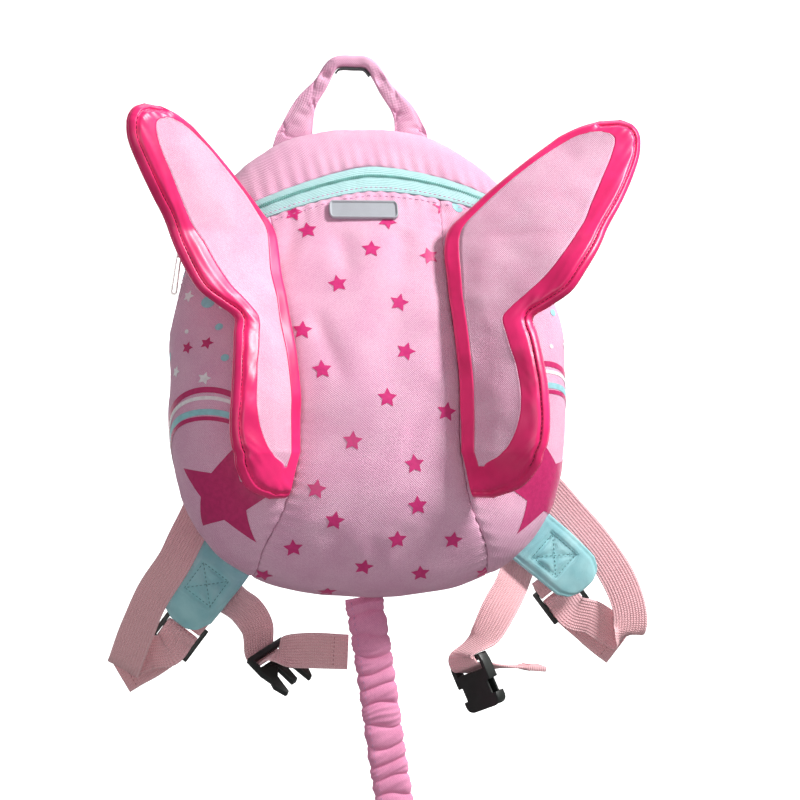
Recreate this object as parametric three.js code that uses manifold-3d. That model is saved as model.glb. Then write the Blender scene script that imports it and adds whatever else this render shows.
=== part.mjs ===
// A small child's harness backpack with padded wings, a gathered rein and two-part chest strap.
// Millimetres, +Z up, the front faces -Y. The part hangs by its handle: the origin is the underside of the grip.
import * as THREE from "three";
import { mergeVertices } from "three/addons/utils/BufferGeometryUtils.js";
import Module from "manifold-3d";

const wasm = await Module();
wasm.setup();

// Bag body, measured from the middle of its widest section
const halfWidth = 110;
const riseAbove = 153;
const dropBelow = 108.7;
const frontDepth = 50;
const backDepth = 42;
const deepestBelow = 40;
const topLean = 26;
const roundness = { top: 2.4, bottom: 2.7, frontTop: 1.6, frontBottom: 2.1, backTop: 5.5, backBottom: 4 };
const sectionRoundness = { front: 2.2, back: 5 };
const height = riseAbove + dropBelow;

// Cloth and clearances
const clothThickness = 1.6;
const backPadding = 5;
const seamGap = 0.2;
const layerGap = 0.3;
const seamPuff = 1.5;
const backSeamDepth = 34;

// Zip across the top of the front and round both sides
const zipHeight = 126;
const zipDrop = 41;
const zipTilt = 0.06;
const zipCoilWidth = 2;
const upperTapeWidth = 4.5;
const lowerTapeWidth = 8;
const tapeThickness = 1.1;
const tapeSunk = 0.7;
const coilThickness = 1.9;
const zipEndAngle = 100;
const sliderAngle = 83;

// Front seam, from the zip to the bottom: height and half-width as shares of the body
const seamTopShares = { left: 0.62, right: 0.48 };
const seamLean = 7;
const frontSeamRows = [
  { up: 0.342, out: 0.488 },
  { up: 0.214, out: 0.435 },
  { up: 0.107, out: 0.413 },
  { up: 0, out: 0.405 },
  { up: -0.107, out: 0.413 },
  { up: -0.22, out: 0.5 },
  { up: -0.31, out: 0.7 },
  { up: -0.363, out: 0.91 },
];
const cornerAngle = 146;

// Main folds of the cloth: place as shares of the body, lengths as shares of its half-width
const foldRows = [
  { out: -0.36, up: 0.51, alongOut: -0.35, alongUp: -1, length: 0.36, width: 0.13, depth: 1.8 },
  { out: 0.3, up: 0.51, alongOut: 0.3, alongUp: -1, length: 0.34, width: 0.13, depth: 1.6 },
  { out: -0.16, up: 0.37, alongOut: 0.1, alongUp: -1, length: 0.3, width: 0.14, depth: 1.1 },
  { out: 0.17, up: 0.37, alongOut: -0.15, alongUp: -1, length: 0.3, width: 0.14, depth: 1.1 },
  { out: -0.3, up: -0.24, alongOut: 0.55, alongUp: -1, length: 0.5, width: 0.12, depth: 1.6 },
  { out: 0.32, up: -0.22, alongOut: -0.4, alongUp: -1, length: 0.45, width: 0.12, depth: 1.5 },
  { out: 0.05, up: -0.02, alongOut: 0.12, alongUp: 1, length: 0.8, width: 0.12, depth: 1.4 },
];

// Wings: heights as shares of the wing height, distances from its root as shares of its reach
const wingReach = 102;
const wingHeight = 204;
const wingFoot = 53;
const wingPuff = 6;
const wingEdge = 1.1;
const wingEdgeRadius = 9;
const wingLean = 0.2;
const wingInsetSunk = 0.5;
const wingPose = {
  left: { lowAngle: 33, highAngle: 38, tipLift: 7, reach: 1, standOff: 1.9 },
  right: { lowAngle: 31, highAngle: 8, tipLift: 6, reach: 1.06, standOff: 2.6 },
};
const wingRows = [
  { up: 1, root: 0.83, windowIn: 0.85, windowOut: 0.88, tip: 0.9 },
  { up: 0.987, root: 0.72, windowIn: 0.76, windowOut: 0.9, tip: 0.96 },
  { up: 0.968, root: 0.63, windowIn: 0.72, windowOut: 0.85, tip: 0.99 },
  { up: 0.946, root: 0.56, windowIn: 0.64, windowOut: 0.855, tip: 1 },
  { up: 0.9, root: 0.43, windowIn: 0.49, windowOut: 0.82, tip: 0.99 },
  { up: 0.838, root: 0.275, windowIn: 0.33, windowOut: 0.755, tip: 0.94 },
  { up: 0.77, root: 0.125, windowIn: 0.19, windowOut: 0.685, tip: 0.865 },
  { up: 0.721, root: 0.03, windowIn: 0.11, windowOut: 0.64, tip: 0.81 },
  { up: 0.66, root: 0, windowIn: 0.09, windowOut: 0.56, tip: 0.73 },
  { up: 0.6, root: 0, windowIn: 0.09, windowOut: 0.47, tip: 0.645 },
  { up: 0.545, root: 0, windowIn: 0.09, windowOut: 0.36, tip: 0.56 },
  { up: 0.505, root: 0, windowIn: 0.09, windowOut: 0.29, tip: 0.47 },
  { up: 0.475, root: 0, windowIn: 0.09, windowOut: 0.265, tip: 0.402 },
  { up: 0.43, root: 0, windowIn: 0.09, windowOut: 0.28, tip: 0.42 },
  { up: 0.345, root: 0, windowIn: 0.09, windowOut: 0.32, tip: 0.445 },
  { up: 0.235, root: 0, windowIn: 0.09, windowOut: 0.335, tip: 0.465 },
  { up: 0.15, root: 0, windowIn: 0.085, windowOut: 0.275, tip: 0.45 },
  { up: 0.085, root: 0, windowIn: 0.07, windowOut: 0.16, tip: 0.385 },
  { up: 0.03, root: 0.01, windowIn: 0.08, windowOut: 0.18, tip: 0.27 },
  { up: 0, root: 0.05, windowIn: 0.08, windowOut: 0.11, tip: 0.13 },
];
const windowFirstRow = 2;
const windowLastRow = 17;

// Handle: the route of the band's middle and its size there
const handleStandBack = 41;
const handleTopDepth = 40;
const handleBand = 22;
const gripHeight = 7;
const gripThickness = 9;
const handleThickness = 2.6;
const handleRows = [
  { across: -0.39, up: 0.495, wide: 1, grip: 0 },
  { across: -0.365, up: 0.545, wide: 1, grip: 0 },
  { across: -0.345, up: 0.578, wide: 0.96, grip: 0 },
  { across: -0.29, up: 0.648, wide: 0.66, grip: 0.25 },
  { across: -0.212, up: 0.693, wide: 0.48, grip: 0.6 },
  { across: -0.138, up: 0.74, wide: 0.36, grip: 1 },
  { across: -0.037, up: 0.7445, wide: 0.32, grip: 1 },
  { across: 0.042, up: 0.74, wide: 0.36, grip: 1 },
  { across: 0.137, up: 0.684, wide: 0.48, grip: 0.6 },
  { across: 0.227, up: 0.635, wide: 0.68, grip: 0.25 },
  { across: 0.264, up: 0.587, wide: 0.86, grip: 0 },
  { across: 0.28, up: 0.545, wide: 0.9, grip: 0 },
  { across: 0.29, up: 0.495, wide: 0.9, grip: 0 },
];
const liningThickness = 1.1;
const liningRun = { from: 0.41, to: 0.6 };

// Label plate below the zip, left blank
const labelWidth = 39;
const labelHeight = 10.6;
const labelThickness = 1.3;
const labelRim = 0.5;
const labelAcross = -4;
const labelBelowZip = 21;

// Straps: routes as shares of the body's half-width, back depth and height; tilt turns the strap's width
const webWidth = 20;
const webThickness = 1.4;
const padWidth = 38;
const padThickness = 7;
const hemThickness = 2.8;
const chestHemStart = 0.92;
const tailHemStart = 0.972;
const padRows = {
  left: [
    { out: -0.25, back: 1.052, up: 0.45, tilt: 0, wide: 0.95 },
    { out: -0.31, back: 1.33, up: 0.35, tilt: 0, wide: 1 },
    { out: -0.4, back: 1.74, up: 0.16, tilt: 0, wide: 1 },
    { out: -0.48, back: 1.86, up: -0.05, tilt: -5, wide: 1 },
    { out: -0.58, back: 1.52, up: -0.22, tilt: -16, wide: 1 },
    { out: -0.69, back: 1.14, up: -0.335, tilt: -32, wide: 0.92 },
    { out: -0.8, back: 0.95, up: -0.398, tilt: -37, wide: 0.87 },
    { out: -0.9, back: 0.9, up: -0.452, tilt: -37, wide: 0.84 },
    { out: -0.94, back: 0.9, up: -0.476, tilt: -37, wide: 0.6 },
    { out: -0.955, back: 0.88, up: -0.484, tilt: -37, wide: 0.3 },
  ],
  right: [
    { out: 0.25, back: 1.052, up: 0.45, tilt: 0, wide: 0.95 },
    { out: 0.31, back: 1.33, up: 0.35, tilt: 0, wide: 1 },
    { out: 0.41, back: 1.74, up: 0.16, tilt: 0, wide: 1 },
    { out: 0.53, back: 1.8, up: -0.05, tilt: 6, wide: 1 },
    { out: 0.7, back: 1.36, up: -0.215, tilt: 30, wide: 0.96 },
    { out: 0.88, back: 0.985, up: -0.293, tilt: 42, wide: 0.9 },
    { out: 1.03, back: 0.9, up: -0.347, tilt: 45, wide: 0.88 },
    { out: 1.14, back: 0.87, up: -0.39, tilt: 45, wide: 0.83 },
    { out: 1.18, back: 0.86, up: -0.408, tilt: 45, wide: 0.6 },
    { out: 1.195, back: 0.86, up: -0.415, tilt: 45, wide: 0.3 },
  ],
};
const lowerWebRows = {
  left: [
    { out: -0.76, back: 0.965, up: -0.165, tilt: -32 },
    { out: -0.865, back: 1.03, up: -0.262, tilt: -32 },
    { out: -0.925, back: 0.88, up: -0.31, tilt: -31 },
    { out: -0.975, back: 0.78, up: -0.35, tilt: -30 },
    { out: -1.09, back: 0.78, up: -0.425, tilt: -27 },
    { out: -1.17, back: 0.8, up: -0.503, tilt: -25 },
    { out: -1.225, back: 0.87, up: -0.568, tilt: -27 },
    { out: -1.235, back: 0.97, up: -0.583, tilt: -30 },
    { out: -1.205, back: 1.08, up: -0.572, tilt: -35 },
    { out: -1.11, back: 1.12, up: -0.555, tilt: -38 },
  ],
  right: [
    { out: 0.8, back: 0.99, up: -0.085, tilt: 40 },
    { out: 0.95, back: 1.1, up: -0.172, tilt: 40 },
    { out: 1.11, back: 1.14, up: -0.246, tilt: 39 },
    { out: 1.31, back: 1.08, up: -0.347, tilt: 33 },
    { out: 1.41, back: 1.02, up: -0.422, tilt: 24 },
    { out: 1.445, back: 0.98, up: -0.48, tilt: 20 },
    { out: 1.437, back: 1.0, up: -0.518, tilt: 22 },
    { out: 1.41, back: 1.08, up: -0.529, tilt: 25 },
    { out: 1.36, back: 1.14, up: -0.516, tilt: 32 },
    { out: 1.25, back: 1.13, up: -0.487, tilt: 37 },
  ],
};
const tailRows = {
  left: [
    { out: -1.1, back: 1.29, up: -0.575, tilt: -37 },
    { out: -1.18, back: 1.3, up: -0.594, tilt: -34 },
    { out: -1.245, back: 1.3, up: -0.61, tilt: -31 },
  ],
  right: [
    { out: 1.24, back: 1.31, up: -0.508, tilt: 36 },
    { out: 1.33, back: 1.33, up: -0.54, tilt: 30 },
    { out: 1.4, back: 1.34, up: -0.563, tilt: 22 },
  ],
};
const chestWebRows = {
  left: [
    { out: -0.78, back: 1.2, up: -0.378, tilt: 37, swing: 0 },
    { out: -0.727, back: 1.17, up: -0.413, tilt: 36, swing: 0 },
    { out: -0.675, back: 1.11, up: -0.437, tilt: 35, swing: 4 },
    { out: -0.6, back: 0.85, up: -0.46, tilt: 33, swing: 14 },
    { out: -0.55, back: 0.73, up: -0.495, tilt: 31, swing: 24 },
  ],
  right: [
    { out: 0.89, back: 1.1, up: -0.336, tilt: -37, swing: 0 },
    { out: 0.85, back: 1.09, up: -0.37, tilt: -37, swing: 0 },
    { out: 0.8, back: 0.93, up: -0.412, tilt: -33, swing: 0 },
    { out: 0.72, back: 0.74, up: -0.462, tilt: -15, swing: -12 },
    { out: 0.63, back: 0.6, up: -0.52, tilt: 8, swing: -30 },
  ],
};

// Strap hardware
const lockLength = 22;
const lockWidth = 26;
const lockThickness = 3;
const lockBar = 3;
const lockPlaces = {
  left: { out: -0.945, back: 1.17, up: -0.513, tilt: -37 },
  right: { out: 1.085, back: 1.18, up: -0.44, tilt: 37 },
};
const turnRadius = 3;
const buckleWidth = 26;
const buckleThickness = 6.5;
const plugLength = 30;
const socketLength = 31;
const prongWidth = 5;
const barWidth = 3.4;
const slotLength = 5.4;
const plugPlace = { out: -0.51, back: 0.58, up: -0.545 };
const plugAxis = [0.63, -0.44, -0.65];
const plugFace = [0.13, -0.76, 0.64];
const socketPlace = { out: 0.55, back: 0.6, up: -0.57 };
const socketAxis = [0.38, -0.12, -0.92];
const socketFace = [-0.72, -0.66, -0.21];
const chestTailLength = { left: 40, right: 35 };

// Rein: a flat tube gathered along its whole length
const reinWidth = 21;
const reinThickness = 7;
const reinGather = 9.5;
const reinRuffle = 1.3;
const reinRows = [
  { across: -0.02, depth: 0.19, down: 0 },
  { across: 0.02, depth: 0.17, down: 0.21 },
  { across: 0.055, depth: 0.15, down: 0.42 },
  { across: 0.1, depth: 0.15, down: 0.7 },
  { across: 0.155, depth: 0.15, down: 1 },
];
const reinLength = 127;

// Zip slider and pull
const sliderLength = 9;
const sliderWidth = 5.6;
const sliderThickness = 2.6;
const bailHeight = 5.2;
const bailWire = 0.8;
const eyeRadius = 2.8;
const eyeHole = 1.9;
const pullLength = 28;
const pullWidth = 4;
const pullThickness = 1;
const pullSlotWidth = 1.4;

const cloth = (name, color) => new THREE.MeshStandardMaterial({ name, color, roughness: 0.85, metalness: 0 });
const looks = {
  body: cloth("body_cloth", 0xe8acd2),
  inset: cloth("wing_cloth", 0xf2bfdd),
  border: new THREE.MeshStandardMaterial({ name: "wing_coated", color: 0xf0307a, roughness: 0.35, metalness: 0 }),
  tape: cloth("zip_tape", 0xb4e4e4),
  pad: cloth("pad_cloth", 0xa0d8dc),
  web: cloth("webbing", 0xf5aeb5),
  lining: cloth("handle_lining", 0x4a4f50),
  rein: cloth("rein_cloth", 0xdc7cae),
  label: new THREE.MeshStandardMaterial({ name: "label_rubber", color: 0xb9bdc6, roughness: 0.6, metalness: 0 }),
  metal: new THREE.MeshStandardMaterial({ name: "zip_metal", color: 0xc8c8c8, roughness: 0.3, metalness: 1 }),
  plastic: new THREE.MeshStandardMaterial({ name: "black_plastic", color: 0x1e2422, roughness: 0.45, metalness: 0 }),
};

const backpack = new THREE.Group();
const bag = new THREE.Group();
backpack.add(bag);

const vec = (x, y, z) => new THREE.Vector3(x, y, z);
const radians = THREE.MathUtils.degToRad;
const mix = THREE.MathUtils.lerp;
const smooth = (value, from, to) => THREE.MathUtils.smoothstep(value, from, to);
const steps = (count, from = 0, to = 1) => Array.from({ length: count + 1 }, (_, k) => mix(from, to, k / count));
const sideSign = { left: -1, right: 1 };

function signedVolume(positions, index) {
  let volume = 0;
  for (let k = 0; k < index.length; k += 3) {
    const [a, b, c] = [positions[index[k]], positions[index[k + 1]], positions[index[k + 2]]];
    volume += a.dot(b.clone().cross(c)) / 6;
  }
  return volume;
}

// A geometry from points and triangles, turned so that its faces point out.
function closedGeometry(positions, index) {
  const facing = signedVolume(positions, index) < 0 ? index.slice().reverse() : index;
  const geometry = new THREE.BufferGeometry().setFromPoints(positions);
  geometry.setIndex(facing);
  return mergeVertices(geometry, 1e-4);
}

// A closed wall between two matching grids of points, over the cells that are kept.
function gridSolid(outer, inner, keep = () => true, wrapped = false) {
  const rows = outer.length - 1;
  const columns = outer[0].length - 1;
  const perSide = outer.flat().length;
  const index = [];
  const at = (side, r, c) => side * perSide + r * (columns + 1) + (wrapped ? c % columns : c);
  const kept = (r, c) => r >= 0 && r < rows && c >= 0 && c < columns && keep(r, c);
  const beside = (r, c) => kept(r, wrapped ? (c + columns) % columns : c);
  const quad = (a, b, c, d) => index.push(a, b, c, a, c, d);
  const wall = (r0, c0, r1, c1) => quad(at(0, r1, c1), at(0, r0, c0), at(1, r0, c0), at(1, r1, c1));
  for (let r = 0; r < rows; r++) {
    for (let c = 0; c < columns; c++) {
      if (!kept(r, c)) continue;
      quad(at(0, r, c), at(0, r, c + 1), at(0, r + 1, c + 1), at(0, r + 1, c));
      quad(at(1, r, c), at(1, r + 1, c), at(1, r + 1, c + 1), at(1, r, c + 1));
      if (!kept(r - 1, c)) wall(r, c, r, c + 1);
      if (!kept(r + 1, c)) wall(r + 1, c + 1, r + 1, c);
      if (!beside(r, c - 1)) wall(r + 1, c, r, c);
      if (!beside(r, c + 1)) wall(r, c + 1, r + 1, c + 1);
    }
  }
  return closedGeometry([...outer.flat(), ...inner.flat()], index);
}

// A closed tube through rings of equally many points, with flat ends.
function loft(rings) {
  const count = rings[0].length;
  const last = (rings.length - 1) * count;
  const index = [];
  for (let k = 0; k < rings.length - 1; k++) {
    for (let i = 0; i < count; i++) {
      const j = (i + 1) % count;
      const [a, b, c, d] = [k * count + i, k * count + j, (k + 1) * count + j, (k + 1) * count + i];
      index.push(a, b, c, a, c, d);
    }
  }
  for (let i = 1; i < count - 1; i++) {
    index.push(0, i + 1, i);
    index.push(last, last + i, last + i + 1);
  }
  return closedGeometry(rings.flat(), index);
}

function addMesh(name, geometry, material, parent = bag) {
  const mesh = new THREE.Mesh(geometry, material);
  mesh.name = name;
  parent.add(mesh);
  return mesh;
}

function toManifold(geometry) {
  const bare = geometry.clone();
  bare.deleteAttribute("normal");
  bare.deleteAttribute("uv");
  const merged = mergeVertices(bare, 1e-4);
  const vertProperties = new Float32Array(merged.attributes.position.array);
  const triVerts = new Uint32Array(merged.index.array);
  return new wasm.Manifold(new wasm.Mesh({ numProp: 3, vertProperties, triVerts }));
}

function fromManifold(solid) {
  const { vertProperties, triVerts } = solid.getMesh();
  const geometry = new THREE.BufferGeometry();
  geometry.setAttribute("position", new THREE.BufferAttribute(new Float32Array(vertProperties), 3));
  return geometry.setIndex(new THREE.BufferAttribute(new Uint32Array(triVerts), 1));
}

const block = (x0, x1, y0, y1, z0, z1) =>
  new THREE.BoxGeometry(x1 - x0, y1 - y0, z1 - z0).translate((x0 + x1) / 2, (y0 + y1) / 2, (z0 + z1) / 2);

// The body's form: closed sections whose half-width and depths follow their height.
const closure = (share, power) => Math.max(0, 1 - Math.min(1, Math.abs(share)) ** power) ** (1 / power);
const sectionCentre = (z) => topLean * smooth(z, 0, riseAbove);

function sectionHalfWidth(z) {
  const share = z > 0 ? z / riseAbove : z / dropBelow;
  return halfWidth * closure(share, z > 0 ? roundness.top : roundness.bottom);
}

function sectionFront(z) {
  const fromDeepest = z + deepestBelow;
  const reach = fromDeepest > 0 ? riseAbove + deepestBelow : dropBelow - deepestBelow;
  return frontDepth * closure(fromDeepest / reach, fromDeepest > 0 ? roundness.frontTop : roundness.frontBottom);
}

function sectionBack(z) {
  const share = z > 0 ? z / riseAbove : z / dropBelow;
  return (backDepth - sectionCentre(z)) * closure(share, z > 0 ? roundness.backTop : roundness.backBottom);
}

// Below one inside the body, one on its surface
function bodyLevel(point) {
  const z = THREE.MathUtils.clamp(point.z, -dropBelow + 1e-3, riseAbove - 1e-3);
  const fromCentre = point.y - sectionCentre(z);
  const depth = fromCentre < 0 ? sectionFront(z) : sectionBack(z);
  const power = fromCentre < 0 ? sectionRoundness.front : sectionRoundness.back;
  const beyond = Math.abs(point.z - z) * 10;
  return (Math.abs(point.x) / sectionHalfWidth(z)) ** power + (Math.abs(fromCentre) / depth) ** power + beyond;
}

function cast(from, direction) {
  const unit = direction.clone().normalize();
  let [near, far] = [0, 3 * height];
  for (let k = 0; k < 36; k++) {
    const middle = (near + far) / 2;
    if (bodyLevel(from.clone().addScaledVector(unit, middle)) < 1) near = middle;
    else far = middle;
  }
  return from.clone().addScaledVector(unit, near);
}

const bodyCore = vec(0, 0.12 * backDepth, 0);
const onBody = (point) => cast(bodyCore, point.clone().sub(bodyCore));

function bodyNormal(point) {
  const reach = 0.4;
  const slope = (axis) => {
    const shift = vec(0, 0, 0).setComponent(axis, reach);
    return bodyLevel(point.clone().add(shift)) - bodyLevel(point.clone().sub(shift));
  };
  return vec(slope(0), slope(1), slope(2)).normalize();
}

// How far the cloth sinks into its main folds, only on the front and top
function foldDepth(point) {
  if (point.y > backSeamDepth - 8) return 0;
  let sum = 0;
  for (const fold of foldRows) {
    const along = vec(fold.alongOut, 0, fold.alongUp).normalize();
    const from = vec(point.x - fold.out * halfWidth, 0, point.z - fold.up * height);
    const run = from.dot(along) / (fold.length * halfWidth);
    const aside = (from.x * along.z - from.z * along.x) / (fold.width * halfWidth);
    const fade = smooth(run, 0, 0.25) * (1 - smooth(run, 0.5, 1));
    sum += fold.depth * fade * Math.exp(-aside * aside);
  }
  return sum;
}

// A patch between four edge curves, each a function of 0..1, laid on the body.
function patch(edges, rows, columns, puff) {
  const { top, bottom, left, right } = edges;
  return rows.map((t) =>
    columns.map((s) => {
      const across = left(t).multiplyScalar(1 - s).addScaledVector(right(t), s);
      const down = top(s).multiplyScalar(1 - t).addScaledVector(bottom(s), t);
      const corners = top(0).multiplyScalar((1 - s) * (1 - t)).addScaledVector(top(1), s * (1 - t));
      corners.addScaledVector(bottom(0), (1 - s) * t).addScaledVector(bottom(1), s * t);
      const point = onBody(across.add(down).sub(corners));
      const normal = bodyNormal(point);
      const inside = Math.sqrt(Math.max(0, 16 * s * (1 - s) * t * (1 - t)));
      point.addScaledVector(normal, puff * inside - foldDepth(point) * Math.min(1, 2 * inside));
      return { point, normal };
    }),
  );
}

// The edge points step back from the seam, so that neighbouring pieces keep their gap.
function stepBack(grid, gap) {
  const lastRow = grid.length - 1;
  const lastColumn = grid[0].length - 1;
  const pull = (cell, inward) => {
    const step = inward.point.clone().sub(cell.point);
    return step.setLength(Math.min(gap, step.length() / 3));
  };
  return grid.map((row, r) =>
    row.map((cell, c) => {
      const point = cell.point.clone();
      if (r === 0) point.add(pull(cell, grid[1][c]));
      if (r === lastRow) point.add(pull(cell, grid[lastRow - 1][c]));
      if (c === 0) point.add(pull(cell, row[1]));
      if (c === lastColumn) point.add(pull(cell, row[lastColumn - 1]));
      return { point, normal: cell.normal };
    }),
  );
}

function clothSolid(grid, thickness, sunk = 0) {
  const outer = grid.map((row) => row.map(({ point, normal }) => point.clone().addScaledVector(normal, -sunk)));
  const inner = grid.map((row) =>
    row.map(({ point, normal }) => point.clone().addScaledVector(normal, -sunk - thickness)),
  );
  return gridSolid(outer, inner);
}

// The zip runs across the front and round the sides at a falling height.
function zipPoint(angle, above = 0) {
  const share = Math.abs(angle) / 90;
  const tilt = zipTilt * halfWidth * Math.sin(radians(angle));
  const z = zipHeight - zipDrop * share ** 1.45 + tilt + above;
  const side = Math.sign(angle);
  if (share <= 1) {
    const power = 2 / sectionRoundness.front;
    const x = side * sectionHalfWidth(z) * Math.abs(Math.sin(radians(angle))) ** power;
    const y = sectionCentre(z) - sectionFront(z) * Math.max(0, Math.cos(radians(angle))) ** power;
    return vec(x, y, z);
  }
  const back = mix(sectionCentre(z), backSeamDepth, (Math.abs(angle) - 90) / (zipEndAngle - 90));
  const x = sectionHalfWidth(z) * closure((back - sectionCentre(z)) / sectionBack(z), sectionRoundness.back);
  return vec(side * x, back, z);
}

const seamTopAngle = (side) => {
  const angle = Math.asin(seamTopShares[side] ** (sectionRoundness.front / 2));
  return (sideSign[side] * angle * 180) / Math.PI;
};
const [leftSeamTop, rightSeamTop] = [seamTopAngle("left"), seamTopAngle("right")];
const sideColumns = 6;
const frontColumns = 8;
const panelRows = 14;
const zipAngles = [
  ...steps(sideColumns, -zipEndAngle, leftSeamTop),
  ...steps(frontColumns, leftSeamTop, rightSeamTop).slice(1),
  ...steps(sideColumns, rightSeamTop, zipEndAngle).slice(1),
];
const upperTapeEdge = zipCoilWidth / 2 + upperTapeWidth;
const lowerTapeEdge = -zipCoilWidth / 2 - lowerTapeWidth;

function frontSurface(x, z) {
  const depth = sectionFront(z) * closure(x / sectionHalfWidth(z), sectionRoundness.front);
  return vec(x, sectionCentre(z) - depth, z);
}

// Where the front seam lies across the bag at a height; both seams lean to the left at the top.
function frontSeamAcross(side, z) {
  const below = frontSeamRows.findIndex((row, k) => k > 0 && z >= row.up * height);
  const k = below < 0 ? frontSeamRows.length - 1 : below;
  const [a, b] = [frontSeamRows[k - 1], frontSeamRows[k]];
  const share = THREE.MathUtils.clamp((z / height - b.up) / (a.up - b.up), 0, 1);
  const lean = seamLean * smooth(z, 0, frontSeamRows[0].up * height);
  return sideSign[side] * mix(b.out, a.out, share) * sectionHalfWidth(z) - lean;
}

// The back seam lies in one plane, a closed curve round the back panel; the angle starts at the top.
const backSeam = (angle) => cast(vec(0, backSeamDepth, 0), vec(Math.sin(radians(angle)), 0, Math.cos(radians(angle))));
const angleOf = (point) => (Math.atan2(point.x, point.z) * 180) / Math.PI;

const seamEnds = Object.fromEntries(
  Object.entries(sideSign).map(([side, sign]) => [side, angleOf(zipPoint(sign * zipEndAngle, lowerTapeEdge))]),
);

const frontSeams = Object.fromEntries(
  Object.entries(sideSign).map(([side, sign]) => {
    const rows = frontSeamRows.map((row) => {
      const z = row.up * height;
      return frontSurface(frontSeamAcross(side, z), z);
    });
    const corner = backSeam(sign * cornerAngle);
    const under = onBody(rows.at(-1).clone().lerp(corner, 0.5));
    const top = zipPoint(seamTopAngle(side), lowerTapeEdge);
    return [side, new THREE.CatmullRomCurve3([top, ...rows, under, corner], false, "centripetal")];
  }),
);

function bodyPanels() {
  const rows = steps(panelRows);
  const left = (t) => frontSeams.left.getPointAt(t);
  const right = (t) => frontSeams.right.getPointAt(t);
  const front = {
    top: (s) => zipPoint(mix(leftSeamTop, rightSeamTop, s), lowerTapeEdge),
    bottom: (s) => backSeam(mix(360 - cornerAngle, cornerAngle, s)),
    left,
    right,
  };
  const frontGrid = patch(front, rows, steps(frontColumns), seamPuff);
  addMesh("front_panel", clothSolid(stepBack(frontGrid, seamGap), clothThickness), looks.body);

  for (const [side, sign] of Object.entries(sideSign)) {
    const seam = frontSeams[side];
    const short = 0.985;
    const edges = {
      top: (s) => zipPoint(mix(seamTopAngle(side), sign * zipEndAngle, s), lowerTapeEdge),
      bottom: (s) => seam.getPointAt(short).lerp(backSeam(mix(seamEnds[side], sign * cornerAngle, short)), s),
      left: (t) => seam.getPointAt(t * short),
      right: (t) => backSeam(mix(seamEnds[side], sign * cornerAngle, t * short)),
    };
    const grid = patch(edges, rows, steps(sideColumns), seamPuff);
    addMesh("side_panel_" + side, clothSolid(stepBack(grid, seamGap), clothThickness), looks.body);
  }

  const ends = Object.values(sideSign).map((sign) => zipPoint(sign * zipEndAngle, upperTapeEdge));
  const [leftEnd, rightEnd] = ends.map(angleOf);
  const columns = steps(zipAngles.length - 1);
  const zipAt = (s) => zipAngles[Math.round(s * (zipAngles.length - 1))];
  const hood = {
    top: (s) => backSeam(mix(leftEnd, rightEnd, s)),
    bottom: (s) => zipPoint(zipAt(s), upperTapeEdge),
    left: (t) => backSeam(leftEnd).lerp(zipPoint(-zipEndAngle, upperTapeEdge), t),
    right: (t) => backSeam(rightEnd).lerp(zipPoint(zipEndAngle, upperTapeEdge), t),
  };
  const hoodGrid = patch(hood, steps(6), columns, seamPuff);
  addMesh("top_panel", clothSolid(stepBack(hoodGrid, seamGap), clothThickness), looks.body);
}

// The padded back: rings of points that shrink from the back seam to its middle.
function backPanel() {
  const [leftTop, rightTop] = ["left", "right"].map((side) => seamEnds[side]);
  const round = [
    ...steps(zipAngles.length - 1, leftTop, rightTop).slice(0, -1),
    ...steps(panelRows, rightTop, cornerAngle).slice(0, -1),
    ...steps(frontColumns, cornerAngle, 360 - cornerAngle).slice(0, -1),
    ...steps(panelRows, 360 - cornerAngle, 360 + leftTop),
  ];
  const middle = vec(0, backDepth, 0.08 * height);
  const shares = [0, 0.5, 0.85, 1];
  const grid = shares.map((share) =>
    round.map((angle) => {
      const point = onBody(middle.clone().lerp(backSeam(angle), share));
      const normal = share > 0 ? bodyNormal(point) : vec(0, 1, 0);
      const inward = middle.clone().sub(point);
      if (share === 1) point.add(inward.setLength(2 * seamGap));
      return { point, normal, share };
    }),
  );
  const padded = (share) => mix(backPadding, clothThickness, smooth(share, 0.6, 1));
  const outer = grid.map((row) => row.map(({ point }) => point));
  const inner = grid.map((row) =>
    row.map(({ point, normal, share }) => point.clone().addScaledVector(normal, -padded(share))),
  );
  addMesh("back_panel", gridSolid(outer, inner, undefined, true), looks.body);
}

function zipBand(low, high, thickness, sunk) {
  const grid = [high, low].map((above) =>
    zipAngles.map((angle) => {
      const point = zipPoint(angle, above);
      return { point, normal: bodyNormal(point) };
    }),
  );
  return clothSolid(stepBack(grid, seamGap), thickness, sunk);
}

function zip() {
  addMesh("zip_tape_upper", zipBand(zipCoilWidth / 2, upperTapeEdge, tapeThickness, tapeSunk), looks.tape);
  addMesh("zip_tape_lower", zipBand(lowerTapeEdge, -zipCoilWidth / 2, tapeThickness, tapeSunk), looks.tape);
  addMesh("zip_coil", zipBand(-zipCoilWidth / 2, zipCoilWidth / 2, coilThickness, 0), looks.tape);
}

// The slider and its pull share one frame: X out of the bag, Y along the zip, Z up the bag's side.
function sliderFrame() {
  const seat = zipPoint(-sliderAngle);
  const out = bodyNormal(seat);
  const along = zipPoint(-sliderAngle + 2).sub(zipPoint(-sliderAngle - 2)).normalize();
  const up = out.clone().cross(along).normalize();
  const turn = new THREE.Matrix4().makeBasis(out, up.clone().cross(out), up);
  return { seat, turn };
}

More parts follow.
